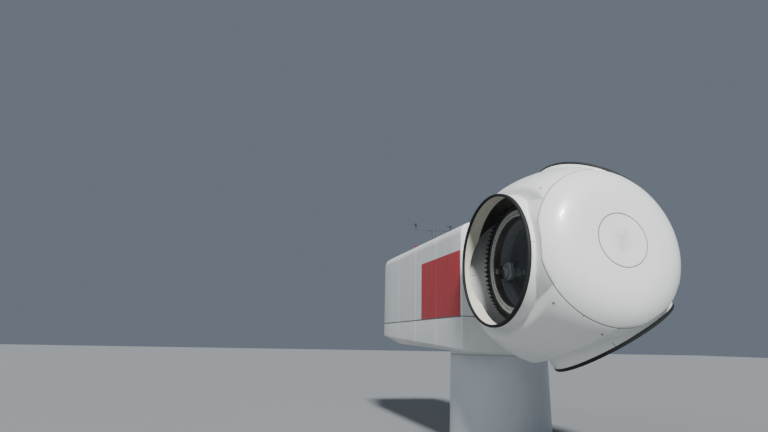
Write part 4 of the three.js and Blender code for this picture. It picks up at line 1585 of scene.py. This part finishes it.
@dataclass
class RotorRear:
    """What closes the rotor at the rear: the spinner's bulkhead and the main shaft."""

    rotor: RotorFrame
    form: SpinnerForm
    gelcoat: Material
    steel: Material
    neck_radius: float = 0.9005
    neck_x: float = -1.72
    plate: float = 0.035
    gap: float = 0.0005
    flange: float = 0.12
    shaft_radius: float = 0.6
    shaft_end: float = -2.26

    def build(self) -> None:
        """Makes the bulkhead and the shaft."""
        rear, rim, neck = self.form.rear_x, self.form.radius_at(self.form.rear_x), self.neck_radius
        inner = 1 - self.form.thickness / math.hypot(rim, rear)
        disc = Shape()
        disc.turned([
            (rim * inner, rear * inner - self.gap, 0.002), (rim, rear - self.gap, 0.004),
            (rim, rear - self.plate, 0.015), (neck, self.neck_x, 0.004),
            (neck, self.neck_x + self.plate, 0.004)], self.rotor.place, 200, closed=True, steps=3)
        disc.deliver("spinner_rear_bulkhead_disc", Body.ROTOR, Slot.GELCOAT, [self.gelcoat],
                     "spinner_rear_bulkhead")
        foot, wide, step = self.neck_x - 0.0003, neck - self.gap, 0.04
        heel = foot - self.flange
        shaft = Shape()
        shaft.turned([
            (0, foot, 0), (wide, foot, 0.004), (wide, heel, 0.006), (self.shaft_radius + step, heel, 0.004),
            (self.shaft_radius, heel - step, 0.03), (self.shaft_radius, self.shaft_end, 0.004),
            (0, self.shaft_end, 0)], self.rotor.place, 144)
        shaft.deliver("main_shaft_forging", Body.ROTOR, Slot.BEARING, [self.steel], "main_shaft")


# Tower top


@dataclass
class TowerTop:
    """The top stretch of the tower: foot flange with its platform, tapered shell, top flange."""

    topcoat: Material
    zinc: Material
    top_z: float = 2.76
    top_radius: float = 1.606
    taper: float = 0.0198
    wall: float = 0.03
    flange_height: float = 0.11
    flange_width: float = 0.15
    platform: float = 0.025
    top_flange: float = 0.04
    bearing_width: float = 0.26
    gap: float = 0.0003
    bead: float = 0.007
    columns: int = 192

    def radius_at(self, height: float) -> float:
        """The shell's outer radius at a height."""
        return self.top_radius + self.taper * (self.top_z - height)

    def build(self) -> None:
        """Makes the three pieces and the weld bead at the foot flange."""
        foot, head = self.radius_at(0), self.flange_height
        inner, upright = foot - self.flange_width, np.eye(4)
        flange = Shape()
        flange.turned([(0, 0, 0), (foot, 0, 0.003), (self.radius_at(head), head, 0.002), (inner, head, 0.004),
                       (inner, self.platform, 0.002), (0, self.platform, 0)], upright, self.columns)
        flange.deliver("tower_flange_and_platform", Body.TOWER, Slot.TOWER, [self.topcoat],
                       "tower_flange_platform")
        low = head + self.gap
        outside = [(self.radius_at(height), height) for height in np.linspace(low, self.top_z - self.gap, 8)]
        shell = Shape()
        shell.lathe(outside + [(radius - self.wall, height) for radius, height in outside[::-1]], upright,
                    self.columns, closed=True)
        shell.deliver("tower_shell_plates", Body.TOWER, Slot.TOWER, [self.topcoat], "tower_shell")
        bead, centre = Shape(), self.radius_at(low) - 0.45 * self.bead
        bead.lathe([(centre + self.bead * math.cos(turn), low + 1.6 * self.bead * math.sin(turn))
                    for turn in steps_round(8)], upright, self.columns, closed=True)
        bead.deliver("tower_flange_weld", Body.TOWER, Slot.TOWER, [self.topcoat])
        far, foot, top, edge = self.top_radius, self.top_z, self.top_z + self.top_flange, 0.003
        near, ring = far - self.bearing_width, Shape()
        ring.turned([(near, foot, edge), (far, foot, edge), (far, top, 0.005), (near, top, edge)],
                    upright, self.columns, closed=True)
        ring.deliver("tower_top_flange_ring", Body.TOWER, Slot.BEARING, [self.zinc], "tower_top_flange")


# Nacelle


@dataclass
class NacelleHousing:
    """The nacelle's cover in two halves, with the ring and the drum that it turns on and carries."""

    rotor: RotorFrame
    tower: TowerTop
    gelcoat: Material
    sealant: Material
    casting: Material
    half_width: float = 2.05
    front_x: float = 1.7
    rear_x: float = -7.15
    seam_z: float = 3.94
    top_z: float = 6.9
    roof_radius: float = 0.38
    edge: float = 0.05
    seam_edge: float = 0.024
    seam_depth: float = 0.02
    seam_soft: float = 0.004
    joint_xs: tuple[float, ...] = (-4.94, -2.73, -0.52)
    joint_width: float = 0.014
    joint_depth: float = 0.008
    stations: tuple[tuple[float, float, float, float], ...] = (
        (-7.15, 3.4, 3.395, 1.7), (-5.85, 3.33, 3.07, 1.7), (0.75, 2.99, 2.88, 1.9), (1.7, 2.94, 2.87, 1.92))
    gap: float = 0.0003
    cowl: tuple[float, float, float] = (1.0, 1.85, -2.07)
    drum_radius: float = 0.96
    drum_face: float = -2.2605
    cowl_edge: float = 0.02
    columns: int = 192

    def build(self) -> None:
        """Makes the housing's pieces."""
        self.upper()
        self.lower()
        self.seam_strip()
        self.yaw_ring()
        self.front()

    def insets(self) -> list[tuple[float, float]]:
        """Works out where the nacelle's section is drawn in: at its ends and its joints.

        Returns:
            Places along the nacelle, from rear to front, and how far the section is drawn in there.
        """
        ends = [(self.edge * (1 - math.cos(turn)), self.edge * (1 - math.sin(turn)))
                for turn in np.linspace(0, math.pi / 2, 6)]
        rear = [(self.rear_x + step, depth) for step, depth in ends]
        front = [(self.front_x - step, depth) for step, depth in ends]
        half, soft = self.joint_width / 2, 0.006
        joints = [(x + way, depth) for x in self.joint_xs for way, depth in (
            (-half - soft, 0), (-half, self.joint_depth), (half, self.joint_depth), (half + soft, 0))]
        bends = [(x, 0) for x, *_ in self.stations[1:-1]]
        return sorted(rear + joints + bends + front)

    def upper(self) -> None:
        """Makes the upper half of the cover."""
        base, soft = self.seam_z + self.gap, self.seam_soft
        rows = []
        for x, inset in self.insets():
            half, top, roof = self.half_width - inset, self.top_z - inset, self.roof_radius - inset
            foot, deep, high = base + inset, half - self.seam_depth, base + inset + self.seam_edge
            outline = rounded([
                (-deep, foot, 0), (deep, foot, 0), (deep, high, 0), (half, high, soft),
                (half, top, roof), (-half, top, roof), (-half, high, soft), (-deep, high, 0)], steps=10)
            rows.append(np.column_stack([np.full(len(outline), x), outline]))
        self.loft(rows, "nacelle_upper_cover", "nacelle_upper_housing")

    def lower(self) -> None:
        """Makes the lower half of the cover, whose floor slopes and whose sides are chamfered."""
        soft, bend = self.seam_soft, 0.05
        rows = []
        for x, inset in self.insets():
            side, bottom, half_bottom = (
                np.interp(x, *zip(*[(row[0], row[k]) for row in self.stations])) for k in (1, 2, 3))
            half, low, side = self.half_width - inset, bottom + inset, side + 0.4 * inset
            head, deep, floor = self.seam_z - inset, half - self.seam_depth, half_bottom - 0.6 * inset
            high = head - self.seam_edge
            outline = rounded([
                (-deep, head, 0), (-deep, high, 0), (-half, high, soft), (-half, side, bend),
                (-floor, low, bend), (floor, low, bend), (half, side, bend), (half, high, soft),
                (deep, high, 0), (deep, head, 0)], steps=10)
            rows.append(np.column_stack([np.full(len(outline), x), outline]))
        self.loft(rows, "nacelle_lower_cover", "nacelle_lower_housing")

    def loft(self, rows: list[np.ndarray], name: str, node: str) -> None:
        """Makes a half of the cover through outlines that follow each other along the nacelle.

        Args:
            rows: The outlines, from rear to front.
            name: The piece's name.
            node: The frame's node that it stands for.
        """
        made = Shape()
        made.grid(np.array(rows))
        for row, way in ((rows[0], 1), (rows[-1], -1)):
            made.add(row, [list(range(len(row)))[::way]])
        made.deliver(name, Body.NACELLE, Slot.HOUSING, [self.gelcoat], node)

    def seam_strip(self) -> None:
        """Makes the strip of sealant in the joint between the halves."""
        deep, high, corner = self.seam_depth - 0.006, self.seam_edge - 0.001, 0.05
        rear, front, side = self.rear_x + deep, self.front_x - deep, self.half_width - deep
        route = rounded([(rear, -side, corner), (front, -side, corner), (front, side, corner),
                         (rear, side, corner)])
        inner, low, head = 0.99 * route, self.seam_z - high, self.seam_z + high
        made = Shape()
        rows = ((route, low), (route, head), (inner, head), (inner, low))
        made.grid(np.array([level(*row) for row in rows]), round_rows=True)
        made.deliver("nacelle_seam_sealant", Body.NACELLE, Slot.RUBBER, [self.sealant])

    def yaw_ring(self) -> None:
        """Makes the ring between the tower and the cover's sloping floor."""
        near, far = self.tower.top_radius - self.tower.bearing_width, self.tower.top_radius
        foot, edge = self.tower.top_z + self.tower.top_flange + 0.0005, 0.004
        angle = steps_round(self.columns)
        rows, section = [], ((near, foot), (far - edge, foot), (far, foot + edge), (far, None), (near, None))
        for radius, height in section:
            x, y = radius * np.cos(angle), radius * np.sin(angle)
            floor = np.interp(x, [s[0] for s in self.stations], [s[2] for s in self.stations]) - self.gap
            rows.append(np.column_stack([x, y, floor if height is None else np.full(self.columns, height)]))
        made = Shape()
        made.grid(np.array(rows), round_rows=True)
        made.deliver("yaw_bearing_ring", Body.NACELLE, Slot.TOWER, [self.gelcoat], "yaw_ring")

    def against_wall(self, section: Sequence[tuple[float, float | None]], closed: bool) -> Shape:
        """Makes a shape turned about the rotor axis that ends on the nacelle's front wall.

        Args:
            section: Radius and place along the axis, with no place for a point on the wall.
            closed: Whether the section closes on itself.

        Returns:
            The shape.
        """
        angle = steps_round(self.columns)
        around = np.cos(angle)[:, None] * self.rotor.up + np.sin(angle)[:, None] * self.rotor.across
        rows = []
        for radius, along in section:
            start = self.rotor.centre + radius * around
            wall = (self.front_x + self.gap - start[:, 0]) / self.rotor.axis[0]
            reach = wall if along is None else np.maximum(along, wall)
            rows.append(start + reach[:, None] * self.rotor.axis)
        made = Shape()
        made.grid(np.array(rows), round_rows=closed)
        return made

    def front(self) -> None:
        """Makes the cowl round the shaft's opening, and the main bearing's drum inside it."""
        (near, far, face), edge = self.cowl, self.cowl_edge
        cowl = self.against_wall([
            (near, None), (near, face - edge), (near + edge, face), (far - edge, face),
            (far - 0.3 * edge, face - 0.3 * edge), (far, face - edge), (far, None)], True)
        cowl.deliver("nacelle_front_cowl_ring", Body.NACELLE, Slot.HOUSING, [self.gelcoat],
                     "nacelle_front_cowl")
        wide, face = self.drum_radius, self.drum_face
        drum = self.against_wall(
            [(0, None), (wide, None), (wide, face - edge), (wide - edge, face), (0, face)], False)
        drum.deliver("main_bearing_drum", Body.NACELLE, Slot.CASTING, [self.casting], "main_bearing_housing")


# Fittings


@dataclass
class Fittings:
    """What stands on the roof and the rear wall: hatch, mast with its sensors, lights and louvred grille."""

    repeat: Repeater
    gelcoat: Material
    rubber: Material
    powder: Material
    bolt: Material
    lens: Material
    plastic: Material
    roof_z: float = 6.9003
    hatch_size: tuple[float, float, float] = (1.1, 0.8, 0.06)
    hatch_x: float = -0.9
    hatch_corner: float = 0.08
    kerb_inset: float = 0.03
    hinge_y: float = 0.26
    handle_x: float = 0.36
    mast_x: float = -6.3
    mast_height: float = 1.5
    mast_radius: float = 0.045
    arm_half: float = 0.9
    arm_height: float = 1.35
    arm_radius: float = 0.025
    sensor_y: float = 0.845
    light_x: float = -5.3
    light_y: float = 1.15
    light_height: float = 0.42
    light_radius: float = 0.11
    light_ribs: int = 23
    grille_rear: float = -7.2203
    grille_depth: float = 0.07
    grille_width: float = 2.2
    grille_height: float = 1.3
    grille_z: float = 5.45
    grille_bar: float = 0.07
    louvres: int = 15
    louvre_slope: float = math.radians(-38)
    screws: int = 11

    def build(self) -> None:
        """Makes all the fittings."""
        self.roof_hatch()
        self.mast()
        self.vane()
        self.wind_speed()
        self.light(1, self.light_y)
        self.light(2, -self.light_y)
        self.grille()

    def roof_hatch(self) -> None:
        """Makes the hatch: a kerb with its rubber, a rounded lid, two hinges and a handle."""
        (length, width, high), x, roof, corner = self.hatch_size, self.hatch_x, self.roof_z, self.hatch_corner
        rear, front, side = x - length / 2, x + length / 2, width / 2
        inset, made = self.kerb_inset, Shape()
        made.box((rear + inset, inset - side, roof), (front - inset, side - inset, roof + 0.03), 0.004,
                 finish=1)
        lid = rounded([(rear, -side, corner), (front, -side, corner), (front, side, corner),
                       (rear, side, corner)], steps=8)
        centre = np.array((x, 0.0))
        reach = np.linalg.norm(lid - centre, axis=1)[:, None]
        rows = [level(centre + (lid - centre) * (1 - inward / reach), roof + height) for inward, height in (
            (0.02, 0.018), (0.0, 0.02), (0.0, high - 0.018), (0.005, high - 0.008),
            (0.016, high - 0.002), (0.06, high))]
        made.grid(np.array(rows))
        made.add(rows[0], [list(range(len(lid)))])
        made.add(rows[-1], [list(range(len(lid)))[::-1]])
        for y in (-self.hinge_y, self.hinge_y):
            made.tube([(rear - 0.004, y + way, roof + 0.022) for way in (-0.05, 0.05)], 0.011, 12, 2)
        made.tube([(x + self.handle_x, y, roof + high + rise) for y, rise in (
            (-0.08, -0.004), (-0.08, 0.03), (-0.06, 0.042), (0.06, 0.042), (0.08, 0.03), (0.08, -0.004))],
            0.008, 12, 2)
        made.deliver("roof_hatch_lid", Body.NACELLE, Slot.GELCOAT, [self.gelcoat, self.rubber, self.bolt],
                     "roof_hatch")

    def seat(self, x: float, y: float, height: float = 0.0) -> np.ndarray:
        """The placing of a fitting at a height over the roof."""
        return np.array(Matrix.Translation((x, y, self.roof_z + height)))

    def mast(self) -> None:
        """Makes the mast: foot plate with bolts, gussets, post, cross arm and its clamp."""
        x, place, post, half = self.mast_x, self.seat(self.mast_x, 0), self.mast_radius, self.arm_half
        made = Shape()
        made.turned([
            (0, 0, 0), (0.14, 0, 0.002), (0.14, 0.014, 0.003), (post + 0.006, 0.014, 0), (post, 0.022, 0),
            (post, self.mast_height - 0.004, 0.004), (0, self.mast_height, 0)], place, 48)
        gusset, corners = Shape(), ((0.042, 0.013), (0.125, 0.013), (0.042, 0.16))
        gusset.add(np.array([(near, side, z) for side in (-0.005, 0.005) for near, z in corners]),
                   [(0, 1, 2), (5, 4, 3), (0, 3, 4, 1), (1, 4, 5, 2), (2, 5, 3, 0)])
        made.join(self.repeat.copies(gusset, 4, self.powder, turn=TURN / 4, place=place))
        made.join(self.repeat.bolts(HexBolt(0.024, 0.013, 0.003, 0.006), 4, 0.112, self.bolt,
                                    place @ shifted(0, 0.014), TURN / 8), 1)
        height = self.roof_z + self.arm_height
        arm = placing((0, 1, 0), (0, 0, 1), (x, 0, height))
        for wide, end in ((self.arm_radius, half), (0.036, 0.075)):
            made.turned([(0, -end, 0), (wide, -end, 0.004), (wide, end, 0.004), (0, end, 0)], arm, 32)
        for side in (-1, 1):
            made.tube([(x, side * 0.04, height - 0.22), (x, side * 0.24, height - 0.01)], 0.012, 12)
        made.deliver("sensor_mast_post", Body.NACELLE, Slot.DARK, [self.powder, self.bolt], "sensor_mast")

    def on_arm(self, y: float) -> np.ndarray:
        """The placing of a sensor on the arm."""
        return self.seat(self.mast_x, y, self.arm_height + self.arm_radius + 0.0003)

    def vane(self) -> None:
        """Makes the wind vane: body, turning head, tail plate and counterweight."""
        place, made = self.on_arm(-self.sensor_y), Shape()
        made.turned([
            (0, 0, 0), (0.03, 0, 0.003), (0.03, 0.02, 0.003), (0.024, 0.025, 0.002), (0.024, 0.13, 0.004),
            (0.03, 0.135, 0.002), (0.03, 0.16, 0.006), (0.012, 0.17, 0.004), (0.012, 0.19, 0.003),
            (0, 0.19, 0)], place, 32)
        x, y, z = place[:3, 3] + (0, 0, 0.2)
        made.tube([(x - 0.15, y, z), (x + 0.13, y, z)], 0.006, 10)
        made.tube([(x, y, z - 0.02), (x, y, z + 0.012)], 0.013, 12)
        made.box((x - 0.21, y - 0.002, z - 0.055), (x - 0.09, y + 0.002, z + 0.06), 0.001)
        made.turned([(0, 0.1, 0), (0.014, 0.1, 0.004), (0.014, 0.14, 0.012), (0, 0.15, 0)],
                    placing((1, 0, 0), (0, 0, 1), (x, y, z)), 20)
        made.deliver("wind_vane_assembly", Body.NACELLE, Slot.DARK, [self.plastic], "wind_vane")

    def wind_speed(self) -> None:
        """Makes the wind speed sensor: body and three cups on arms."""
        place, made = self.on_arm(self.sensor_y), Shape()
        made.turned([
            (0, 0, 0), (0.03, 0, 0.003), (0.03, 0.02, 0.003), (0.024, 0.025, 0.002), (0.024, 0.16, 0.004),
            (0.03, 0.165, 0.002), (0.03, 0.19, 0.006), (0.014, 0.2, 0.004), (0.014, 0.235, 0.006),
            (0, 0.24, 0)], place, 32)
        cup, height = Shape(), 0.218
        cup.tube([(0.01, 0, height), (0.09, 0, height)], 0.004, 8)
        turns = np.linspace(0, math.pi / 2, 6)
        bowl = [(radius * math.sin(turn), -radius * math.cos(turn))
                for radius, way in ((0.034, 1), (0.031, -1)) for turn in turns[::way]]
        cup.lathe(bowl, placing((0, 1, 0), (0, 0, 1), (0.105, 0.0, height)), 20)
        made.join(self.repeat.copies(cup, 3, self.plastic, turn=TURN / 3, place=place))
        made.deliver("wind_speed_sensor_assembly", Body.NACELLE, Slot.DARK, [self.plastic],
                     "wind_speed_sensor")

    def light(self, number: int, y: float) -> None:
        """Makes an obstruction light: foot with bolts, ribbed red lens and cap.

        Args:
            number: The light's number.
            y: Its place across the roof.
        """
        place, wide, high = self.seat(self.light_x, y), self.light_radius, self.light_height
        made = Shape()
        made.turned([
            (0, 0, 0), (wide, 0, 0.002), (wide, 0.012, 0.003), (0.085, 0.014, 0.004), (0.085, 0.10, 0.004),
            (0.098, 0.104, 0.003), (0.098, 0.125, 0.003), (0, 0.125, 0)], place, 64, 1)
        made.join(self.repeat.bolts(HexBolt(0.014, 0.008, 0.002), 6, 0.097, self.bolt,
                                    place @ shifted(0, 0.012)), 2)
        ribs = [(0.086 + 0.004 * (step % 2), 0.125 + step * 0.0105) for step in range(self.light_ribs)]
        made.lathe([(0, 0.125), *ribs, (0.078, 0.377), (0, 0.377)], place, 64)
        made.turned([(0, 0.372, 0), (0.095, 0.372, 0.002), (0.095, 0.39, 0.004), (0.05, high - 0.006, 0.02),
                     (0, high, 0)], place, 64, 1)
        made.deliver(f"obstruction_light_{number}_lamp", Body.NACELLE, Slot.LAMP,
                     [self.lens, self.powder, self.bolt], f"obstruction_light_{number}")

    def grille(self) -> None:
        """Makes the rear grille: frame, sloping louvres and the screws round the frame."""
        half, rear, bar = self.grille_width / 2, self.grille_rear, self.grille_bar
        low, high = self.grille_z - self.grille_height / 2, self.grille_z + self.grille_height / 2
        front, sill, head, side = rear + self.grille_depth, low + bar, high - bar, half - bar
        made = Shape()
        for y0, y1, z0, z1 in ((-half, half, low, sill), (-half, half, head, high),
                               (-half, -side, sill, head), (side, half, sill, head),
                               (-bar / 2, bar / 2, sill, head)):
            made.box((rear, y0, z0), (front, y1, z1), 0.004)
        edge = half - bar / 2
        made.box((front - 0.012, -edge, low + bar / 2), (front - 0.004, edge, high - bar / 2), finish=1)
        pitch = (head - sill) / self.louvres
        slope = np.array(Matrix.Translation((rear + 0.032, 0, sill + pitch / 2))
                         @ Matrix.Rotation(self.louvre_slope, 4, "Y"))
        slat = Shape()
        slat.box((-0.034, -side - 0.002, -0.0015), (0.034, side + 0.002, 0.0015), 0.0008, slope)
        made.join(self.repeat.copies(slat, self.louvres, self.powder, step=(0, 0, pitch)))
        for z in (low + bar / 2, high - bar / 2):
            screw = HexBolt(0.013, 0.006, 0.002).shape(placing((-1, 0, 0), (0, 0, 1), (rear, -edge, z)))
            step = (0, 2 * edge / (self.screws - 1), 0)
            made.join(self.repeat.copies(screw, self.screws, self.bolt, step=step), 2)
        made.deliver("rear_grille_louvres", Body.NACELLE, Slot.DARK, [self.powder, self.rubber, self.bolt],
                     "rear_grille")


# Studio


@dataclass
class Studio:
    """The camera at the photograph's viewing angle, a plain pale floor and soft light.

    Each light has its name, strength, angle across in degrees and the direction that it comes from.
    """

    camera_at: tuple[float, float, float] = (17.832, -8.970, 3.111)
    heading: float = math.radians(164.757)
    rise: float = math.radians(12.683)
    roll: float = math.radians(1.15)
    lens_mm: float = 26.307
    sensor_mm: float = 36.0
    lights: tuple[tuple[str, float, float, tuple[float, float, float]], ...] = (
        ("key", 5.8, 8.0, (0.72, -0.13, 0.68)), ("fill", 0.65, 50.0, (0.3, -0.83, 0.47)))
    surround: str = "C2D0E4"
    surround_strength: float = 0.27
    backdrop: Finish = Finish("Matt paper backdrop", "848789", "808486", 0.9, patch_mm=9000, patch_share=0.3,
                              grain_share=0.0, grain_depth_mm=0.0, roughness_swing=0.0)
    floor_half: float = 200.0
    floor_z: float = -0.002

    def build(self) -> None:
        """Makes the camera, the lights and the floor."""
        self.camera()
        self.lighting()
        self.floor()

    def camera(self) -> None:
        """Makes the camera."""
        ahead = Vector((math.cos(self.heading) * math.cos(self.rise),
                        math.sin(self.heading) * math.cos(self.rise), math.sin(self.rise)))
        right = Vector((math.sin(self.heading), -math.cos(self.heading), 0))
        up = right.cross(ahead)
        leaning = math.cos(self.roll) * right + math.sin(self.roll) * up
        upright = math.cos(self.roll) * up - math.sin(self.roll) * right
        camera = placed("camera", bpy.data.cameras.new("camera"))
        camera.data.lens, camera.data.sensor_width = self.lens_mm, self.sensor_mm
        camera.data.clip_end = 1000
        camera.matrix_world = Matrix((leaning, upright, -ahead)).transposed().to_4x4()
        camera.location = self.camera_at
        bpy.context.scene.camera = camera

    def lighting(self) -> None:
        """Makes a wide soft key light from above the rotor, a weak fill and an even surround."""
        for name, energy, angle, towards in self.lights:
            light = bpy.data.lights.new(name, "SUN")
            light.energy, light.angle = energy, math.radians(angle)
            lamp = placed(name, light)
            lamp.rotation_mode = "QUATERNION"
            lamp.rotation_quaternion = (-Vector(towards)).to_track_quat("-Z", "Y")
        world = bpy.data.worlds.new("studio")
        world.use_nodes = True
        sky = world.node_tree.nodes["Background"].inputs
        sky["Color"].default_value = linear(self.surround)
        sky["Strength"].default_value = self.surround_strength
        bpy.context.scene.world = world

    def floor(self) -> None:
        """Makes the floor."""
        half, made = self.floor_half, Shape()
        made.add(np.array([(-half, -half, 0), (half, -half, 0), (half, half, 0), (-half, half, 0)]),
                 [(0, 1, 2, 3)])
        mesh = made.mesh("floor")
        mesh.materials.append(self.backdrop.build())
        floor = placed("floor", mesh)
        floor.location.z = self.floor_z


def main() -> None:
    """Builds the studio and every sub-assembly in order. Each piece is reported as it is delivered."""
    logging.basicConfig(level=logging.INFO, format="%(name)s: %(message)s")
    Studio().build()
    rotor = RotorFrame()
    form = SpinnerForm(rotor)
    finishes = Finishes(tuple(rotor.centre + form.nose_x * rotor.axis))
    repeat = Repeater()
    LOG.info("studio and finishes made")
    Spinner(form, rotor, finishes.gelcoat, finishes.laminate, finishes.shade_dark_laminate, finishes.sealant,
            finishes.rubber).build()
    drives = []
    for number, place in enumerate(rotor.port_places, 1):
        BladeBearing(number, place, repeat, finishes.race, finishes.phosphate_and_shade, finishes.gear,
                     finishes.rubber).build()
        drives.append(PitchDrive(number, place, repeat, finishes.enamel, finishes.gear, finishes.zinc))
        drives[-1].build()
    HubCasting(rotor, drives, finishes.casting).build()
    RotorRear(rotor, form, finishes.gelcoat, finishes.race).build()
    tower = TowerTop(finishes.topcoat, finishes.race)
    tower.build()
    NacelleHousing(rotor, tower, finishes.housing, finishes.sealant, finishes.casting).build()
    Fittings(repeat, finishes.gelcoat, finishes.rubber, finishes.powder, finishes.zinc, finishes.lens,
             finishes.plastic).build()


if __name__ == "__main__":
    main()
